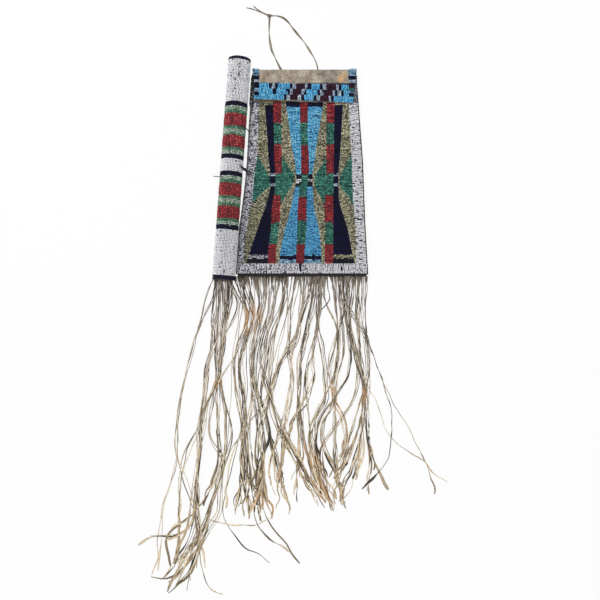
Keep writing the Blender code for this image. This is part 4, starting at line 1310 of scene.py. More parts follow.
    def roll(self) -> None:
        """Wraps strings of black and white beads round the left edge, longer ones beside the flap.

        A bead's run is its way along the string from the top of the bulge. Before that the string lies flat,
        and beyond it goes round half an oval: sin(angle) outwards and 1 - cos(angle) down.
        """
        rng = np.random.default_rng(self.seed)
        bead = BEAD_PITCH * self.roll_size
        thick = BEAD_RADIUS * self.roll_size
        y = np.arange(FOLD_Y - 0.001, self.bottom + 0.0004, -ROW_PITCH * self.roll_size)[:, None]
        beside_flap = ease((y - 0.079) / 0.006) * ease((0.1215 - y) / 0.006)
        reach = 0.0018
        half = (FRONT_TOP - 0.0016) / 2 + thick
        arc = np.pi * np.sqrt((reach ** 2 + half ** 2) / 2)
        run = (np.arange(10) + 0.5) * bead - (0.0004 + 0.0024 * beside_flap)
        angle = np.clip(run, 0.0, None) / arc * np.pi
        held = angle < np.pi * 0.97
        outer = OUTLINE.edge(0.0, y) + thick - 0.0012 * beside_flap
        flat = run < 0
        x = np.where(flat, outer + reach - run, outer + reach * (1 - np.sin(angle)))
        z = FRONT_TOP + thick - np.where(flat, 0.0, half * (1 - np.cos(angle)))
        thread = unit(np.stack([np.where(flat, -1.0, -np.cos(angle) * reach), np.zeros_like(x),
                                np.where(flat, 0.0, -np.sin(angle) * half)], -1))
        centre = np.stack([x, np.broadcast_to(y, x.shape), z], -1)[held]
        dark = np.broadcast_to(beside_flap, x.shape)[held]
        drawn = rng.uniform(size=len(centre))
        tone = (0.16 + 0.66 * drawn) * (1 - dark) + drawn ** 4.5 * dark
        strings = Beads(centre, thread[held], unit(np.cross(thread, DOWN))[held], 0.95 * bead, tone,
                        GLASSES.index(Glass.SPECKLED), self.roll_size)
        put("left_edge_beads", strings.surface(rng), Glass.SPECKLED, stands_for=("edge_roll_left",))
        LOG.info("left edge: %d strings", len(y))

    def build(self) -> None:
        """Makes the panels and the two sides."""
        self.panel("back_panel", 0.0, Leather.BARE, False, 0.0005)
        self.panel("front_panel", FRONT_TOP - HIDE, Leather.GROUND, True, 0.0)
        beads = 2 * BEAD_RADIUS - 0.0004
        self.side("left_edge_core", 0.0, self.roll_width - beads, beads, Leather.EDGE, (), 0.0)
        self.side("right_edge_binding", 1.0, self.binding_width, 0.0, Leather.BINDING,
                  ("edge_binding_right",), self.pinch)
        self.stitches()
        self.roll()


# The flap


@dataclass
class Flap:
    """The hide that folds over from the back, its band of three bead rows and a lane down each side."""

    seed: int = 37
    columns: int = 64
    fold_steps: int = 14
    flat_steps: int = 30
    lower_edge: Places = ((250, 99.3), (258, 99.5), (280, 100.5), (304, 101.8), (322, 101.9), (335, 102.1),
                          (350, 103.6), (358, 104.4))
    left_edge: Places = ((69, 252.2), (76, 253.3), (85, 254.6), (92, 254.3), (100, 254.0))
    right_edge: Places = ((69, 357.0), (76, 356.2), (85, 354.8), (92, 353.7), (104, 352.8))
    # How far the hide stays inside the beads' edges, and how far its edges wander
    inset: float = 0.0004
    wander: float = 0.0003
    left_lane: float = 259.0
    right_lane: float = 348.7
    lane_top: float = 67.6
    lane_ends: tuple[float, float] = (99.4, 103.2)
    band_top: float = 82.9
    flat: tuple[float, float] = (0.126, 0.050)
    rows: Places = ((83.2, 88.5), (88.6, 93.9), (94.0, 99.3))
    shadow_edge: float = 0.0006
    # Stains: across, down, size and strength
    stains: Sequence[tuple[float, float, float, float]] = (
        (341, 78, 3.2, 0.7), (340.5, 80.5, 2.2, 0.9), (344.5, 75.5, 2.6, 0.6), (346.5, 72, 1.6, 0.3),
        (262, 77, 2.0, 0.3), (268, 79, 1.6, 0.25), (289, 79, 1.4, 0.3), (309, 80, 1.8, 0.3))

    def stained(self, points: Array) -> Array:
        """How strongly each point is stained: an eased fall from each stain's strength to nothing."""
        stain = np.zeros(len(points))
        for across, down, size, strength in self.stains:
            x, y, _ = STUDIO.at(across, down, BEAD_LEVEL)
            far = np.hypot(points[:, 0] - x, points[:, 1] - y) / (size * PIXEL)
            stain = np.maximum(stain, strength * ease(1.4 - far))
        return stain

    def covered(self, points: Array, low: Array) -> Array:
        """How far beads cover each point: in the band and in the two lanes.

        Args:
            points: the sheet's points, as rows of places across the flap.
            low: the y of the flap's lower edge at those places.

        Returns:
            The shares, between 0 and 1.
        """
        x, y, _ = points.T
        soft = self.shadow_edge
        over_edge = y - np.tile(low, len(points) // low.size)
        in_band = ease((level(self.band_top) - y) / soft) * ease((over_edge - 0.0009) / soft)
        in_lane = np.maximum(ease((aside(self.left_lane) - x) / soft),
                             ease((x - aside(self.right_lane)) / soft))
        return np.maximum(in_band, in_lane * (y > np.min(low) + 0.002))

    def hide(self) -> bpy.types.Object:
        """Makes the fold and the flap as one sheet.

        Its middle goes half round the fold's axis, the sine of the angle outwards and the cosine downwards,
        and runs on flat, with slight waves, to its uneven lower edge.

        Returns:
            The sheet.
        """
        rng = np.random.default_rng(self.seed)
        radius = FOLD_Z - HIDE / 2
        share = np.linspace(0.0, 1.0, self.columns)
        angle = np.linspace(0.0, np.pi, self.fold_steps)[:, None] + 0 * share
        across = OUTLINE.edge(0.0, 0.1) + 0.002 + share * OUTLINE.top_width
        across_edge, down_edge = np.array(self.lower_edge).T
        low = np.interp(across, aside(across_edge), level(down_edge))
        low = low + self.wander * slow_noise(self.columns, 26, rng)
        part = np.linspace(0.0, 1.0, self.flat_steps + 1)[1:, None]
        y_flat = FOLD_Y + (low - FOLD_Y) * part
        lift = 0.00045 * ease((FOLD_Y - y_flat) / 0.006)
        waves = 0.5 + 0.5 * np.sin(140 * across + 60 * y_flat) * np.cos(180 * y_flat + 55 * across)
        y = np.concatenate([FOLD_Y + radius * np.sin(angle), y_flat])
        z = np.concatenate([FOLD_Z - radius * np.cos(angle), 2 * FOLD_Z - HIDE / 2 + lift * waves])
        out_y = np.concatenate([np.sin(angle), 0 * y_flat])
        out_z = np.concatenate([-np.cos(angle), 0 * y_flat + 1.0])
        rag = self.wander * slow_noise(len(y), 16, rng)[:, None]
        left = Line.seen(self.left_edge).at(y) + self.inset + rag
        right = Line.seen(self.right_edge).at(y) - self.inset + rag
        middle = np.stack([left + (right - left) * share, y, z], -1)
        away = np.stack([0 * y, out_y, out_z], -1) * HIDE / 2
        surface = sheet_between(middle + away, middle - away)
        points = surface.points
        outer = (points[:, 2] > FOLD_Z) & (np.arange(len(points)) < len(points) // 2)
        surface.values["mark"] = self.stained(points) * outer
        surface.values["covered"] = outer * self.covered(points, low)
        return put("flap_sheet", surface, Leather.BARE, Carrier.FLAP, ("flap_fold", "flap_hide"))

    def bent(self, beads: Beads) -> Beads:
        """Bends the beads above the fold's axis line round the fold.

        A bead that lies further up than the axis moves to the same distance along the circle that the beads
        follow, sine outwards and cosine up, and its outward direction turns with it.

        Args:
            beads: flat beads, which change.

        Returns:
            The same beads.
        """
        x, y, z = beads.centre.T
        over, radius = y - FOLD_Y, z - FOLD_Z
        angle = np.clip(over / radius, 0.0, np.pi)
        y = np.where(over > 0, FOLD_Y + radius * np.sin(angle), y)
        z = np.where(over > 0, FOLD_Z + radius * np.cos(angle), z)
        turned = np.stack([0 * angle, np.sin(angle), np.cos(angle)], -1)
        beads.centre = np.stack([x, y, z], -1)
        beads.out = np.where(over[:, None] > 0, turned, beads.out)
        return beads

    def band(self, rng: Rng) -> Beads:
        """The three rows of the band: white, navy and maroon strings between blue ones make the figures.

        Args:
            rng: source of the unevenness.

        Returns:
            The beads.
        """
        g = Glass
        cells = (
            ((269.2, g.SKY), (272.2, g.NAVY), (275.1, g.GREY), (278, g.NAVY), (290, g.SKY), (293, g.NAVY),
             (296, g.GREY), (304.7, g.MAROON), (307, g.GREY), (311, g.NAVY), (320, g.SKY), (323, g.NAVY),
             (326.1, g.GREY), (335.9, g.MAROON), (338.2, g.GREY), (341, g.NAVY), (360, g.SKY)),
            ((272.9, g.SKY), (276.3, g.NAVY), (287.2, g.SKY), (290, g.NAVY), (293, g.GREY), (301.3, g.MAROON),
             (304.5, g.GREY), (306.9, g.NAVY), (317.2, g.SKY), (319.9, g.NAVY), (323.2, g.GREY),
             (332, g.MAROON), (335.3, g.GREY), (337.5, g.NAVY), (340.8, g.GREY), (343.8, g.NAVY),
             (360, g.SKY)),
            ((284, g.SKY), (286.8, g.NAVY), (289.8, g.GREY), (297.9, g.MAROON), (301.1, g.GREY),
             (304.3, g.NAVY), (313.4, g.SKY), (316.8, g.NAVY), (319.9, g.GREY), (328.5, g.MAROON),
             (331.5, g.GREY), (334.2, g.NAVY), (360, g.SKY)),
        )
        ground = Ground(FLAP_TOP + 0.0001, size=FINE)
        parts = []
        for ends, row in zip(self.rows, cells):
            tops, bottoms = (((255, y), (304, y + 0.5 + 0.05 * (y - 83)), (352, y + 2.0 + 0.10 * (y - 83)))
                             for y in ends)
            parts.append(strung_down(tops, bottoms, self.left_lane, self.right_lane, row, rng, ground))
        return Beads.joined(parts)

    def lanes(self, rng: Rng) -> Beads:
        """The lane of short level strings down each side, which starts beyond the fold.

        Args:
            rng: source of the unevenness.

        Returns:
            The beads.
        """
        g = Glass
        left = ((75.7, g.PALE), (79.4, g.NAVY), (82.7, g.GREY), (88.5, g.NAVY), (91.6, g.PALE),
                (95.3, g.NAVY), (100, g.SKY))
        right = ((76.4, g.PALE), (79.7, g.NAVY), (83, g.GREY), (88.1, g.MAROON), (91, g.GREEN),
                 (93.6, g.PALE), (96.6, g.NAVY), (110, g.SKY))
        outer_left, outer_right = Line.seen(self.left_edge), Line.seen(self.right_edge)
        inner_left, inner_right = (Line.seen(((60, x), (105, x))) for x in (self.left_lane, self.right_lane))
        ground = Ground(FLAP_TOP + 0.0001, False, FINE)
        return self.bent(Beads.joined([
            strung_across(start, stop, self.lane_top, end, bands, rng, ground)
            for start, stop, end, bands in ((outer_left, inner_left, self.lane_ends[0], left),
                                            (inner_right, outer_right, self.lane_ends[1], right))]))

    def build(self) -> None:
        rng = np.random.default_rng(self.seed)
        sheet = self.hide()
        beads = Beads.joined([self.band(rng), self.lanes(rng)])
        sewn_on = lay_beads("flap", beads, Carrier.FLAP, {
            Glass.SKY: ("flap_band_left", "flap_band_middle", "flap_band_right"),
            Glass.MAROON: ("flap_figure_left", "flap_figure_right"),
            Glass.NAVY: ("flap_lane_left", "flap_lane_right"),
        }, rng)


# The tube


@dataclass
class Tube:
    """The beaded tube: a sleeve of hide, lanes of strings along it and a navy ring at each end."""

    seed: int = 41
    top: Point = (-0.0776, 0.1367, 0.0142)
    foot: Point = (-0.0976, -0.1341, 0.0142)
    bore: float = 0.0107
    hide: float = 0.0119
    bead_ring: float = 0.01288
    strings: int = 45
    # How far a string may slip along the tube, and the waves of the sleeve
    slip: float = 0.0002
    ripple: float = 0.00008
    # Where the tube's two ends show, down the picture, and the rings: start, end and how far they stand out
    picture_ends: tuple[float, float] = (54.9, 279.4)
    rims: Sequence[Point] = ((54.9, 57.9, 0.0001), (275.1, 279.4, 0.0003))
    # The white lanes above and below the bands: start of the first, length of each and their number
    white_lanes: Sequence[tuple[float, float, int]] = ((58.0, 10.6, 4), (228.9, 11.5, 4))

    def __post_init__(self) -> None:
        """Works out the way from the top to the foot, the direction to the right of it and the length."""
        self.start, foot = np.array(self.top), np.array(self.foot)
        self.way = unit(foot - self.start)
        self.right = np.cross(UP, self.way)
        self.length = float(np.linalg.norm(foot - self.start))

    def place(self, along: Array, angle: Array, radius: Numbers) -> tuple[Array, Array]:
        """Points on the tube: cos(angle) radii up and sin(angle) radii to the right of its axis."""
        out = UP * np.cos(angle)[..., None] + self.right * np.sin(angle)[..., None]
        return self.start + self.way * along[..., None] + out * np.asarray(radius)[..., None], out

    def along(self, down: Numbers) -> Array:
        """How far from the tube's top a place is, from how far down the picture it shows."""
        start, stop = self.picture_ends
        return (np.asarray(down) - start) / (stop - start) * self.length

    def sleeve(self) -> None:
        """Makes the hide: an inner and an outer wall turned about the axis, closed at both ends."""
        around, rings = 48, 40
        angle = np.linspace(0.0, 2 * np.pi, around, endpoint=False)
        down = np.linspace(0.0, self.length, rings)
        along = np.concatenate([down, down[::-1]])[:, None]
        radius = np.repeat([self.hide, self.bore], rings)[:, None]
        points, _ = self.place(along + 0 * angle, angle + 0 * along,
                               radius + self.ripple * np.sin(5 * angle + 90 * along))
        index = np.arange(2 * rings * around).reshape(2 * rings, around)
        right, below = np.roll(index, -1, axis=1), np.roll(index, -1, axis=0)
        faces = np.stack([index, below, np.roll(below, -1, axis=1), right], -1).reshape(-1, 4)
        # The outer wall, under the beads, takes the finish's marked grey as painted shade between the beads
        outer = np.repeat([1.0, 0.0], rings * around)
        put("tube_hide", Surface(points.reshape(-1, 3), [faces], {"mark": outer}), Leather.SLEEVE,
            stands_for=("tube_sleeve",))

    def lanes(self) -> list[tuple[float, float, Bands]]:
        """Each lane's start, end and glasses, down the picture: the white ones and those of the bands."""
        g = Glass
        upper, lower = ([(first + step * k, first + step * (k + 1), ALL_WHITE) for k in range(count)]
                        for first, step, count in self.white_lanes)
        red = ((400, g.RED),)
        return [*upper,
                (100.4, 112.3, ((104.5, g.NAVY), (109.6, g.SAGE), (400, g.LEAF))),
                (112.3, 124.8, red),
                (124.8, 134.3, ((127.7, g.LEAF), (132.0, g.SAGE), (400, g.LEAF))),
                (134.3, 146.2, red),
                (146.2, 157.7, ((148.7, g.LEAF), (153.6, g.SAGE), (400, g.NAVY))),
                (157.7, 170.5, ALL_WHITE),
                (170.5, 182.2, ((175.1, g.NAVY), (178.8, g.SAGE), (400, g.LEAF))),
                (182.2, 195.0, red),
                (195.0, 205.4, ((197.4, g.LEAF), (202.5, g.SAGE), (400, g.LEAF))),
                (205.4, 217.8, red),
                (217.8, 228.9, ((220.5, g.LEAF), (224.8, g.SAGE), (400, g.NAVY))), *lower]

    def lane(self, start: float, stop: float, bands: Bands, rng: Rng) -> Beads:
        """One lane: strings along the tube, round and round it, higher in the middle of the lane.

        Args:
            start: where it starts, down the picture.
            stop: where it ends.
            bands: its glasses from the top.
            rng: source of the unevenness.

        Returns:
            The beads.
        """
        first, last = float(self.along(start)), float(self.along(stop))
        string, share, room = strung(np.full(self.strings, last - first), 1.0)
        turn = 2 * np.pi * (np.arange(self.strings) + rng.uniform(0, 1)) / self.strings
        slip = self.slip * rng.normal(0, 1, self.strings)
        along = first + (last - first) * share + slip[string]
        centre, out = self.place(along, turn[string], self.bead_ring + LANE_CROWN * np.sin(np.pi * share))
        return Beads(centre, self.way, out, BEAD_FILL * room[string], uneven_tone(string, rng),
                     glass_at(along, self.along(ends_of(bands)), bands))

    def rim(self, start: float, stop: float, flare: float, rng: Rng) -> Beads:
        """Rings of navy beads strung round one end.

        Args:
            start: where they start, down the picture.
            stop: where they end.
            flare: how far they stand out.
            rng: source of the tones.

        Returns:
            The beads.
        """
        along = evenly(float(self.along(start)), float(self.along(stop)), ROW_PITCH)[:, None]
        girth = 2 * np.pi * self.bead_ring
        count = int(girth / BEAD_PITCH)
        angle = 2 * np.pi * (np.arange(count) + 0.5 * np.arange(len(along))[:, None]) / count
        centre, out = self.place(along + 0 * angle, angle, self.bead_ring + flare + 0 * angle)
        out = out.reshape(-1, 3)
        return Beads(centre.reshape(-1, 3), np.cross(out, self.way), out, BEAD_FILL * girth / count,
                     rng.uniform(0, 1, len(out)), GLASSES.index(Glass.NAVY))

    def build(self) -> None:
        """Makes the sleeve and a piece of each bead colour."""
        rng = np.random.default_rng(self.seed)
        self.sleeve()
        beads = Beads.joined([self.lane(*lane, rng) for lane in self.lanes()])
        white = beads.of(Glass.WHITE)
        rest, whites = beads.picked(~white), salted(beads.picked(white), 0.05, rng)
        beads = Beads.joined([rest, whites, *(self.rim(*rim, rng) for rim in self.rims)])
        lay_beads("tube", beads, Carrier.BAG, {
            Glass.WHITE: ("tube_white_top", "tube_white_middle", "tube_white_bottom"),
            Glass.RED: [f"tube_red_{k}" for k in range(1, 5)],
            Glass.NAVY: ("tube_rim_top", "tube_rim_bottom"),
        }, rng)


# Laces


@dataclass
class Thong:
    """The hide lace for hanging: two legs out of the top fold, a knot and its two loose ends."""

    seed: int = 53
    width: float = 0.0030
    depth: float = 0.0011
    level: float = 0.0012
    lowest: float = 0.0002
    sides: int = 8
    left: Places = ((-0.0267, 0.12656), (-0.0300, 0.1335), (-0.0337, 0.1409), (-0.0394, 0.1533),
                    (-0.0412, 0.1633), (-0.0424, 0.1758), (-0.0420, 0.1850), (-0.0417, 0.1942))
    right: Places = ((0.0183, 0.12656), (0.0181, 0.1334), (0.0138, 0.1433), (0.0075, 0.1533),
                     (0.0025, 0.1614), (-0.0062, 0.1721), (-0.0124, 0.1795), (-0.0187, 0.1883),
                     (-0.0249, 0.1933), (-0.0310, 0.1955), (-0.0402, 0.1953))
    knot: Point = (-0.0418, 0.1952, 0.0019)
    knot_size: Point = (0.0025, 0.0021, 0.0009)
    tails: Sequence[Places] = (((-0.0555, 0.2010), (-0.0610, 0.2034), (-0.0704, 0.2056)),
                               ((-0.0555, 0.2022), (-0.0585, 0.2048), (-0.0616, 0.2078)))

    def lace(self, route: Places, turns: float, start: float, points: int, rng: Rng,
             taper: float = 0.0) -> tuple[Surface, Array]:
        """A flat lace along a route on the floor, that turns about its own line by a number of turns.

        Args:
            route: places it lies through.
            turns: how often it turns.
            start: angle of its width at its start.
            points: points along it.
            rng: source of the unevenness.
            taper: share of its width that is gone at its end.

        Returns:
            The surface and the middle line.
        """
        path = resampled(np.array([(x, y, self.level) for x, y in route]), points, 4)
        share = np.linspace(0.0, 1.0, points)
        path[:, 2] += 0.0003 * (1 + slow_noise(points, 7, rng)) * np.sin(np.pi * share)
        turn = start + 2 * np.pi * turns * (share + 0.10 * slow_noise(points, 6, rng))[:, None]
        side = unit(np.cross(UP, unit(np.gradient(path, axis=0))))
        half = self.width / 2 * (0.92 + 0.08 * slow_noise(points, 9, rng)) * (1 - taper * share)
        surface = swept(path, side * np.cos(turn) + UP * np.sin(turn), half, self.depth / 2, self.sides)
        path[:, 2] += surface.raised(self.lowest, self.sides)
        surface.values["mark"] = np.repeat(0.35 * (0.5 + 0.5 * slow_noise(points, 8, rng)), self.sides)
        return surface, path

    def build(self) -> None:
        """Makes the knot with its ends, then both legs as cords that end in it."""
        rng = np.random.default_rng(self.seed)
        knot = knotted(np.array(self.knot), self.knot_size, 0.00095, 0.0008, 72, self.sides).marked(0.0)
        ends = [self.lace((self.knot[:2], *tail), 0.35, 0.2, 24, rng, 0.55)[0] for tail in self.tails]
        piece = put("thong_tied", Surface.joined([knot, *ends]), Leather.THONG, stands_for=("thong_knot",))
        for name, route, turns in (("left", self.left, 1.0), ("right", self.right, 1.6)):
            surface, path = self.lace(route, turns, 0.15, 60, rng)
            leg = put(f"thong_leg_{name}", surface, Leather.THONG, stands_for=(f"thong_{name}",))
            tuple(path[0])
            float(lengths(path)[-1])
            [tuple(p) for p in path]


@dataclass
class Ties:
    """The two dark laces that hold the tube to the pouch, and the thread end beside the tube."""

    seed: int = 59
    radius: float = 0.0007
    end_radius: float = 0.0004
    flatness: float = 0.8
    points: int = 28
    lean: Point = (0.3, 1.0, 0.2)
    mark: float = 0.2
    # Routes as (across, down) places of the picture, and their heights
    upper: Places = ((241.4, 125.8), (244.5, 127.0), (247.2, 129.6), (248.8, 131.4), (250.2, 132.2))
    upper_levels: Sequence[float] = (0.0266, 0.0238, 0.0170, 0.0122, 0.0112)
    lower: Places = ((239.6, 165.0), (243.0, 167.4), (246.4, 170.8), (250.4, 172.6), (254.2, 173.2))
    lower_levels: Sequence[float] = (0.0262, 0.0232, 0.0165, 0.0118, 0.0112)
    second_step: tuple[float, float] = (1.2, 2.2)
    end: Places = ((221.5, 176.4), (218.5, 176.8), (216.0, 176.2), (213.6, 176.6))
    end_levels: Sequence[float] = (0.0230, 0.0215, 0.0200, 0.0190)
    knot: Point = (244.4, 169.2, 0.0205)
    knot_size: Point = (0.0018, 0.0016, 0.0010)

    def lace(self, places: Places, levels: Sequence[float], radius: float, rng: Rng) -> Surface:
        """A thin lace."""
        path = resampled(STUDIO.at(*zip(*places), levels), self.points)
        half = radius * (1 + 0.15 * slow_noise(self.points, 8, rng))
        return swept(path, np.array(self.lean), half, half * self.flatness, 8).marked(self.mark)

    def build(self) -> None:
        """Makes both ties, the lower one with its knot, and the thread end."""
        rng = np.random.default_rng(self.seed)
        put("tie_lace_upper", self.lace(self.upper, self.upper_levels, self.radius, rng), Leather.LACE,
            stands_for=("tie_upper",))
        knot = knotted(STUDIO.at(*self.knot), self.knot_size, self.radius, self.radius, 48, 6)
        right, down = self.second_step
        second = [(a + right, d + down) for a, d in self.lower[:-1]]
        parts = [knot.marked(self.mark), self.lace(self.lower, self.lower_levels, self.radius, rng),
                 self.lace(second, self.lower_levels[:-1], self.radius * 0.8, rng),
                 self.lace(self.end, self.end_levels, self.end_radius, rng)]
        put("tie_lace_lower", Surface.joined(parts), Leather.LACE, stands_for=("tie_lower",))


# The fringe

Routes = Sequence[tuple[int, tuple[float, ...]]]


@dataclass
class HeightMap:
    """How high the strands lie so far, on a fine grid, so that the next one lies on them."""

    cell: float = 0.0009
    low: tuple[float, float] = (-0.24, -0.56)
    most: float = 0.0078
    settle: float = 0.00005
    grid: Array = field(default_factory=lambda: np.zeros((500, 500)))

    def cells(self, path: Array) -> tuple[Array, Array]:
        """The cells under each point and beside it."""
        at = ((path[:, :2] - self.low) / self.cell).astype(int)
        near = np.array([(0, 0), (1, 0), (-1, 0), (0, 1), (0, -1)])
        i, j = (at[:, None] + near).transpose(2, 0, 1)
        return np.clip(i, 0, self.grid.shape[0] - 1), np.clip(j, 0, self.grid.shape[1] - 1)

    def lay(self, path: Array, thick: float) -> Array:
        """Lays a strand on what is there.

        It bridges the dips: its heights are smoothed, and each stays at most a little below what is there.

        Args:
            path: points of its middle line.
            thick: its thickness.

        Returns:
            The heights of its middle line.
        """
        cells = self.cells(path)
        z = self.grid[cells].max(axis=1) + thick / 2
        for _ in range(4):
            soft = z.copy()
            soft[1:-1] = (z[:-2] + 2 * z[1:-1] + z[2:]) / 4
            z = np.maximum(z - self.settle, soft)
        z = np.minimum(z, self.most)
        self.grid[cells] = np.maximum(self.grid[cells], (z + thick / 2)[:, None])
        return z


@dataclass(frozen=True)
class Bunch:
    """How the strands on one route lie beside it: the first follows it closely and the others less so.

    Lengths are in pixels of the picture.
    """

    step: float
    first_wander: float
    wander: float
    fan: float
    shortest: float
    drop: float
    tones: tuple[float, float]


@dataclass
class Fringe:
    """The long fringe: strands of cut hide below the pouch and out of the tube's foot."""

    seed: int = 67
    points: int = 64
    root_width: float = 0.0021
    middle_width: float = 0.00132
    thick: float = 0.0008
    sides: int = 6
    # The uncut strips between the panels: heights, half thickness and places along the bag
    strip_levels: Sequence[float] = (0.0023, 0.0039, 0.0055)
    strip_half: float = 0.0005
    strip_rows: Sequence[float] = (-0.1195, -0.124, -0.1275, -0.1298)
    bag: Bunch = Bunch(1.5, 0.5, 1.9, 3.2, 0.89, 0.030, (0.1, 0.9))
    tube: Bunch = Bunch(1.2, 0.4, 1.7, 2.6, 0.86, 0.075, (0.05, 0.9))
    # The tube's foot in the picture: its middle, its height there and the share of the traced width that its
    # roots keep, and in metres the height of its axis and how far from it a root hangs
    tube_middle: float = 223.6
    tube_foot: float = 275.0
    tube_squeeze: float = 0.76
    tube_half: float = 7.9
    tube_axis: float = 0.0142
    tube_reach: float = 0.0090
    # Tan patches: across, down, size and strength
    tan_spots: Sequence[tuple[float, float, float, float]] = (
        (252, 314, 11.0, 1.2), (249, 327, 8.0, 1.0), (308, 297, 6.0, 0.5), (331, 390, 7.0, 0.8),
        (366, 395, 9.0, 0.7), (337, 406, 8.0, 0.8), (304, 452, 8.0, 0.5), (314, 462, 8.0, 0.5),
        (325, 490, 14.0, 0.5), (233, 385, 6.0, 0.5), (282, 440, 5.0, 0.4), (236, 512, 5.0, 0.7),
        (277, 476, 5.0, 0.6), (256, 502, 9.0, 0.6), (275, 505, 9.0, 0.6), (216, 384, 6.0, 0.6))
    # How many strands lie close together, and the places (across, down, across, down ...) they lie through
    bag_routes: Routes = (
        (3, (236, 276, 249, 311, 249, 322, 235, 353, 232, 367, 236, 392, 241, 408, 243, 472, 235, 514)),
        (3, (241, 276, 246, 298, 252, 312, 250, 326, 240, 356, 238, 372, 244, 410, 246, 451, 247, 482, 243,
             516)),
        (3, (247, 276, 255, 314, 241, 355, 240, 368, 246, 411, 240, 455, 250, 518)),
        (2, (255, 276, 259, 300, 251, 352, 251, 366, 253, 390, 257, 410, 257, 461, 260, 490, 260, 521)),
        (2, (260, 276, 261, 302, 254, 333, 252, 366, 253, 390, 247, 440, 256, 512)),
        (2, (265, 276, 266, 300, 254, 352, 253, 368, 266, 445, 263, 470, 265, 491, 274, 518)),
        (2, (270, 276, 270, 302, 268, 315, 258, 346, 255, 390, 262, 404, 270, 428, 270, 440, 274, 461, 279,
             472, 278, 508)),
        (2, (275, 276, 274, 302, 260, 350, 259, 366, 266, 375, 270, 390, 266, 416, 276, 462, 290, 514)),
        (2, (282, 276, 286, 294, 282, 307, 270, 333, 260, 400, 270, 427, 270, 439, 262, 455, 258, 475, 262,
             500, 261, 521)),
        (2, (286, 276, 285, 294, 280, 309, 274, 341, 269, 380, 273, 408, 279, 429, 290, 451, 305, 480, 323,
             505)),
        (1, (288, 276, 289, 325, 287, 343, 269, 395, 230, 451, 210, 511, 208, 523)),
        (1, (292, 276, 286, 320, 272, 385, 263, 402, 238, 440, 231, 455, 226, 490, 227, 508)),
        (2, (298, 276, 291, 309, 288, 350, 294, 382, 291, 405, 282, 434, 283, 450, 277, 490)),
        (2, (300, 276, 303, 294, 298, 333, 280, 360, 261, 420, 259, 440, 262, 460, 258, 485, 248, 519)),
        (3, (311, 276, 308, 296, 300, 321, 296, 345, 288, 352, 281, 362, 270, 400, 276, 425, 296, 455, 302,
             470, 324, 508)),
        (3, (316, 276, 314, 302, 299, 366, 298, 410, 301, 459, 296, 482, 297, 502)),
        (2, (313, 276, 312, 300, 302, 345, 299, 410, 306, 449, 333, 510)),
        (2, (321, 276, 320, 302, 313, 350, 314, 381, 310, 392, 290, 425, 284, 455)),
        (2, (322, 276, 321, 300, 317, 329, 322, 343, 326, 388, 325, 405, 317, 416, 314, 427, 314, 441, 318,
             472, 330, 505)),
        (2, (319, 276, 317, 329, 311, 358, 306, 370, 306, 400, 311, 447, 320, 480, 334, 511)),
        (2, (324, 276, 323, 297, 338, 329, 338, 360, 334, 378, 311, 425, 310, 440, 312, 460, 326, 500)),
        (1, (327, 276, 328, 293, 332, 301, 321, 309, 318, 325, 307, 360, 303, 400, 303, 430, 306, 455, 311,
             475, 318, 492)),
        (2, (332, 276, 335, 288, 335, 302, 339, 331, 328, 370, 333, 397, 342, 412, 346, 424, 347, 434, 346,
             445, 342, 457, 328, 477)),
        (3, (342, 276, 340, 294, 346, 314, 346, 325, 353, 339, 366, 382, 366, 400, 362, 410, 363, 424, 361,
             451, 357, 472, 350, 488, 343, 498)),
        (2, (346, 276, 341, 288, 350, 311, 365, 333, 370, 358, 365, 410, 366, 433, 373, 468, 368, 480, 370,
             494)),
        (2, (351, 276, 342, 315, 338, 341, 338, 360, 334, 378, 333, 405, 322, 426, 326, 451, 337, 470, 339,
             492, 346, 509)),
        (2, (358, 276, 356, 302, 356, 325, 359, 343, 357, 390, 347, 410, 323, 441, 319, 455, 322, 475, 336,
             508)),
        (1, (362, 276, 361, 325, 390, 400, 409, 427, 424, 459, 434, 483, 434, 494)),
        (1, (367, 276, 365, 325, 368, 343, 382, 374, 385, 391, 390, 404, 392, 418, 390, 458, 379, 473, 362,
             489)),
        (2, (344, 276, 347, 325, 352, 358, 349, 370, 350, 377, 320, 418, 316, 435, 316, 450, 332, 503)),
        (2, (338, 276, 344, 346, 343, 360, 338, 374, 335, 394, 335, 463, 337, 478, 345, 507)),
        (1, (364, 276, 362, 330, 367, 388, 378, 403, 386, 431, 396, 443, 424, 460, 430, 468, 446, 483)),
        (2, (360, 276, 358, 310, 359, 345, 364, 395, 359, 424, 353, 444, 345, 461, 333, 478)),
        (1, (366, 277, 366, 345, 368, 375, 366, 420, 368, 445, 388, 490)),
        (2, (348, 276, 348, 300, 351, 330, 364, 392, 358, 405, 347, 450, 333, 490, 334, 508)),
        (2, (355, 276, 350, 320, 354, 345, 366, 390, 366, 410, 357, 455, 350, 475, 341, 490, 340, 505)),
        (2, (306, 276, 304, 300, 293, 350, 288, 400, 270, 465, 270, 480, 276, 495)),
        (1, (295, 276, 290, 305, 276, 350, 261, 440, 262, 500, 264, 519, 285, 542, 299, 564)),
        (1, (252, 276, 247, 330, 246, 360, 248, 390, 244, 420, 222, 505, 223, 519, 238, 539, 249, 550, 270,
             562)),
        (1, (246, 276, 238, 330, 238, 365, 243, 400, 253, 510, 256, 526, 266, 536, 289, 552)),
        (1, (241, 277, 240, 300, 232, 360, 228, 440, 222, 480, 202, 520, 234, 526, 255, 525, 273, 520)),
        (2, (278, 276, 273, 320, 266, 340, 262, 365, 263, 385, 272, 400, 282, 425, 308, 475, 325, 503)),
    )
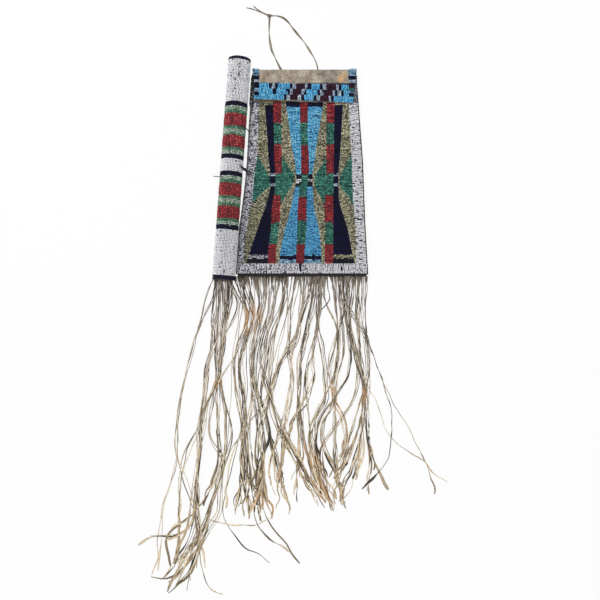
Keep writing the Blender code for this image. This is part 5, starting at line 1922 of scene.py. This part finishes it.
    tube_routes: Routes = (
        (1, (213, 281, 205, 298, 202, 318, 197, 331, 179, 398, 174, 443, 182, 477, 195, 515, 203, 575, 208,
             587, 216, 594, 223, 594)),
        (1, (215, 281, 215, 298, 208, 307, 195, 339, 189, 356, 179, 400, 177, 422, 179, 437, 178, 455, 176,
             467, 162, 506, 154, 575)),
        (2, (214, 281, 211, 322, 214, 335, 210, 354, 205, 367, 204, 398, 201, 417, 199, 462, 196, 486, 196,
             524, 193, 535, 170, 583, 168, 592)),
        (2, (216, 281, 217, 310, 212, 332, 211, 354, 204, 412, 199, 430, 189, 445, 184, 460, 181, 477, 179,
             520, 181, 535, 174, 564)),
        (3, (220, 281, 220, 313, 217, 331, 216, 355, 218, 376, 217, 385, 214, 395, 205, 406, 200, 422, 199,
             462, 195, 506, 196, 527, 200, 545, 199, 555, 192, 571, 178, 586, 168, 593)),
        (2, (218, 281, 219, 300, 215, 330, 216, 378, 214, 396, 208, 420, 208, 439, 210, 446, 223, 453, 225,
             458, 221, 478, 210, 511, 206, 534, 202, 544, 190, 557, 178, 577, 165, 580, 151, 577)),
        (2, (223, 281, 224, 310, 217, 385, 219, 439, 222, 450, 220, 470, 204, 530, 190, 545, 165, 577)),
        (2, (226, 281, 226, 312, 219, 372, 220, 389, 225, 416, 225, 457, 220, 481, 207, 515, 205, 530, 188,
             553, 168, 590)),
        (2, (230, 281, 228, 310, 219, 362, 223, 397, 232, 425, 233, 440, 226, 458, 222, 475, 219, 497, 221,
             512, 200, 540, 190, 560, 188, 591)),
        (2, (232, 281, 224, 350, 217, 385, 216, 400, 219, 455, 217, 468, 206, 497, 205, 506)),
        (2, (233, 281, 233, 298, 224, 338, 224, 360, 222, 373, 216, 384, 213, 398, 206, 405, 202, 420, 198,
             465, 196, 515, 192, 530, 171, 538, 152, 535, 144, 537, 138, 544)),
        (1, (228, 281, 232, 294, 240, 300, 236, 312, 226, 330, 221, 350, 219, 372, 220, 388, 226, 417, 225,
             457, 204, 500, 186, 520, 170, 530, 163, 540, 171, 566)),
        (1, (231, 281, 236, 295, 243, 301, 247, 312, 246, 325, 231, 363, 222, 373, 206, 408, 203, 430, 196,
             460, 188, 520, 180, 548, 170, 570, 160, 579)),
        (2, (219, 281, 225, 310, 221, 330, 206, 372, 197, 440, 196, 470, 200, 520, 203, 535, 196, 552, 174,
             584)),
    )


    def beside(self, line: Array, share: Array, bunch: Bunch, follows: bool, rng: Rng) -> Array:
        """How far a strand stands beside its route: a wander, a fan, small kinks and a curl at the tip.

        Args:
            line: points of the route.
            share: how far along it they are.
            bunch: the most that each of these may be.
            follows: whether the strand isn't the first on its route.
            rng: source of the unevenness.

        Returns:
            What to add to the points.
        """
        n = self.points
        wander = bunch.wander if follows else bunch.first_wander
        shift = wander * (rng.uniform(-1, 1) * 0.6 + slow_noise(n, 8, rng))
        shift = shift * (0.25 + 0.75 * ease(share / 0.08))
        shift = shift + bunch.fan * follows * rng.uniform(-1, 1) * ease((share - 0.55) / 0.45)
        shift = shift + (0.75 * slow_noise(n, 18, rng) + 0.42 * slow_noise(n, 34, rng)) * ease(share / 0.05)
        curl = rng.uniform(0.0, 2.1) * np.sin(share * rng.uniform(30.0, 75.0) + rng.uniform(0.0, 6.0))
        shift = shift + curl * ease((share - 0.84) / 0.12)
        way = unit(np.gradient(line, axis=0))
        return np.stack([-way[:, 1], way[:, 0]], -1) * shift[:, None]

    def widths(self, share: Array, rng: Rng) -> Array:
        """A strand's widths: wide at the root, narrow along the middle and uneven, wider again at the tip."""
        middle, tip = self.middle_width, self.middle_width * rng.uniform(1.2, 2.7)
        width = np.interp(share, [0.0, 0.015, 0.06, 0.70, 0.90, 0.985, 1.0],
                          [self.root_width, self.root_width, middle, middle, tip, tip, tip * 0.6])
        return width * (1 + 0.14 * slow_noise(self.points, 12, rng)) * rng.uniform(0.75, 1.15)

    def tan(self, line: Array) -> Array:
        """How tan the hide is at points of the picture: the patches fade outwards."""
        marks = [strength * ease(1.4 - np.hypot(line[:, 0] - a, line[:, 1] - d) / size)
                 for a, d, size, strength in self.tan_spots]
        return np.maximum(0.0, np.max(marks, axis=0))

    def strand(self, places: Array, bunch: Bunch, follows: bool, cut: float, root: float, laid: HeightMap,
               rng: Rng) -> Surface:
        """One strand.

        It comes down from its root by an eased step and lies on the strands below it. Its section is a flat
        oval that twists about the line, grey on one side and tan on the other.

        Args:
            places: what it lies through, in the picture.
            bunch: how it stands beside them and comes down.
            follows: whether it isn't the first on its route.
            cut: which share of the way it is long.
            root: height of its root.
            laid: the strands laid so far.
            rng: source of the unevenness.

        Returns:
            The surface, with tone, along and mark per point.
        """
        n = self.points
        tone = rng.uniform(*bunch.tones)
        line = resampled(places, n, 4)
        line = resampled(line[:max(8, int(n * cut))], n, 1)
        share = np.linspace(0.0, 1.0, n)
        line = line + self.beside(line, share, bunch, follows, rng)
        path = STUDIO.at(*line.T, 0.001)
        run = lengths(path[:, :2])
        lying = laid.lay(path, self.thick + 0.0002)
        fall = ease(run / bunch.drop)
        path = STUDIO.at(*line.T, np.maximum(lying, root * (1 - fall) + lying * fall))
        twist = np.pi * rng.uniform(0.6, 2.2) * slow_noise(n, 9, rng) + np.pi * rng.uniform(-3, 3) * share
        twist = (twist * ease(run / 0.02))[:, None]
        way = unit(np.gradient(path, axis=0))
        side = unit(np.cross(UP, way))
        across = side * np.cos(twist) + np.cross(way, side) * np.sin(twist)
        surface = swept(path, across, self.widths(share, rng) / 2, self.thick / 2, self.sides)
        surface.raised(0.0001, self.sides)
        mark = self.tan(line) * np.clip(rng.uniform(-0.3, 1.2), 0.0, 0.9)
        face = 0.32 * np.sign(np.round(np.sin(2 * np.pi * np.arange(self.sides) / self.sides), 3))
        paler = 0.08 * ease((share - 0.8) / 0.15)
        tones = tone + face + (0.12 * slow_noise(n, 10, rng))[:, None] + paler[:, None]
        surface.values = {"tone": np.clip(tones, 0.0, 1.0).ravel(), "along": np.repeat(share, self.sides),
                          "mark": np.repeat(mark, self.sides)}
        return surface

    def below_pouch(self, laid: HeightMap, rng: Rng) -> Iterator[Surface]:
        """The strands below the pouch, from its three strips, with two more on a route of several."""
        for traced, route in self.bag_routes:
            count = traced + 2 * (traced > 1)
            for k in range(count):
                places = np.array(route, float).reshape(-1, 2)
                places[0, 0] += (k - (count - 1) / 2) * self.bag.step
                cut = rng.uniform(self.bag.shortest, 1.0) if k else 1.0
                root = self.strip_levels[rng.integers(3)]
                yield self.strand(places, self.bag, k > 0, cut, root, laid, rng)

    def of_tube(self, laid: HeightMap, rng: Rng) -> Iterator[Surface]:
        """The tube's strands, one more on each route. Their roots lie in an arc above or below its axis."""
        for traced, route in self.tube_routes:
            count = traced + 1
            for k in range(count):
                places = np.array(route, float).reshape(-1, 2)
                offset = (places[0, 0] - self.tube_middle) * self.tube_squeeze
                offset += (k - (count - 1) / 2) * self.tube.step
                places[0] = self.tube_middle + offset, self.tube_foot
                room = np.sqrt(max(0.05, 1 - (offset / self.tube_half) ** 2))
                root = self.tube_axis + self.tube_reach * room * (1 if (k + count) % 2 else -0.8)
                cut = rng.uniform(self.tube.shortest, 1.0) if k else 1.0
                yield self.strand(places, self.tube, k > 0, cut, root, laid, rng)

    def strips(self) -> list[Surface]:
        """The three uncut strips that are caught between the panels."""
        parts = []
        row = np.array(self.strip_rows)[:, None]
        share = np.linspace(0.0, 1.0, 60)
        left, right = OUTLINE.edge(0.0, -0.126) + 0.0032, OUTLINE.edge(1.0, -0.126) - 0.0022
        x = left * (1 - share) + right * share + 0 * row
        for z in self.strip_levels:
            y = row + 0 * share + 0.0004 * np.sin(share * 140 + z * 900) * (row < -0.1290)
            halves = (self.strip_half, -self.strip_half)
            part = sheet_between(*(np.stack([x, y, 0 * y + z + half], -1) for half in halves))
            count = len(part.points)
            part.values = {"tone": np.full(count, 0.15), "along": np.zeros(count), "mark": np.zeros(count)}
            parts.append(part)
        return parts

    def build(self) -> None:
        """Makes the pouch's fringe and the tube's fringe."""
        rng = np.random.default_rng(self.seed)
        laid = HeightMap()
        pouch, tube = list(self.below_pouch(laid, rng)), list(self.of_tube(laid, rng))
        for name, strands, nodes in (
                ("fringe_below_pouch", pouch, ("bag_fringe_back", "bag_fringe_middle", "bag_fringe_front")),
                ("fringe_of_tube", tube, ("tube_fringe_back", "tube_fringe_front"))):
            for k, strand in enumerate(strands):
                strand.map = strand.map * [1.0, 0.9 / len(strands)] + [0.0, (k + 0.05) / len(strands)]
            put(name, Surface.joined(strands), Leather.FRINGE, stands_for=nodes)
        put("fringe_strips", Surface.joined(self.strips()), Leather.FRINGE)


def main() -> None:
    """Builds the bag piece by piece."""
    logging.basicConfig(level=logging.INFO, format="%(message)s")
    STUDIO.build()
    for part in (Thong(), PouchHide(), FrontBeadwork(), Flap(), Tube(), Ties(), Fringe()):
        LOG.info("building %s", type(part).__name__)
        part.build()


if __name__ == "__main__":
    main()
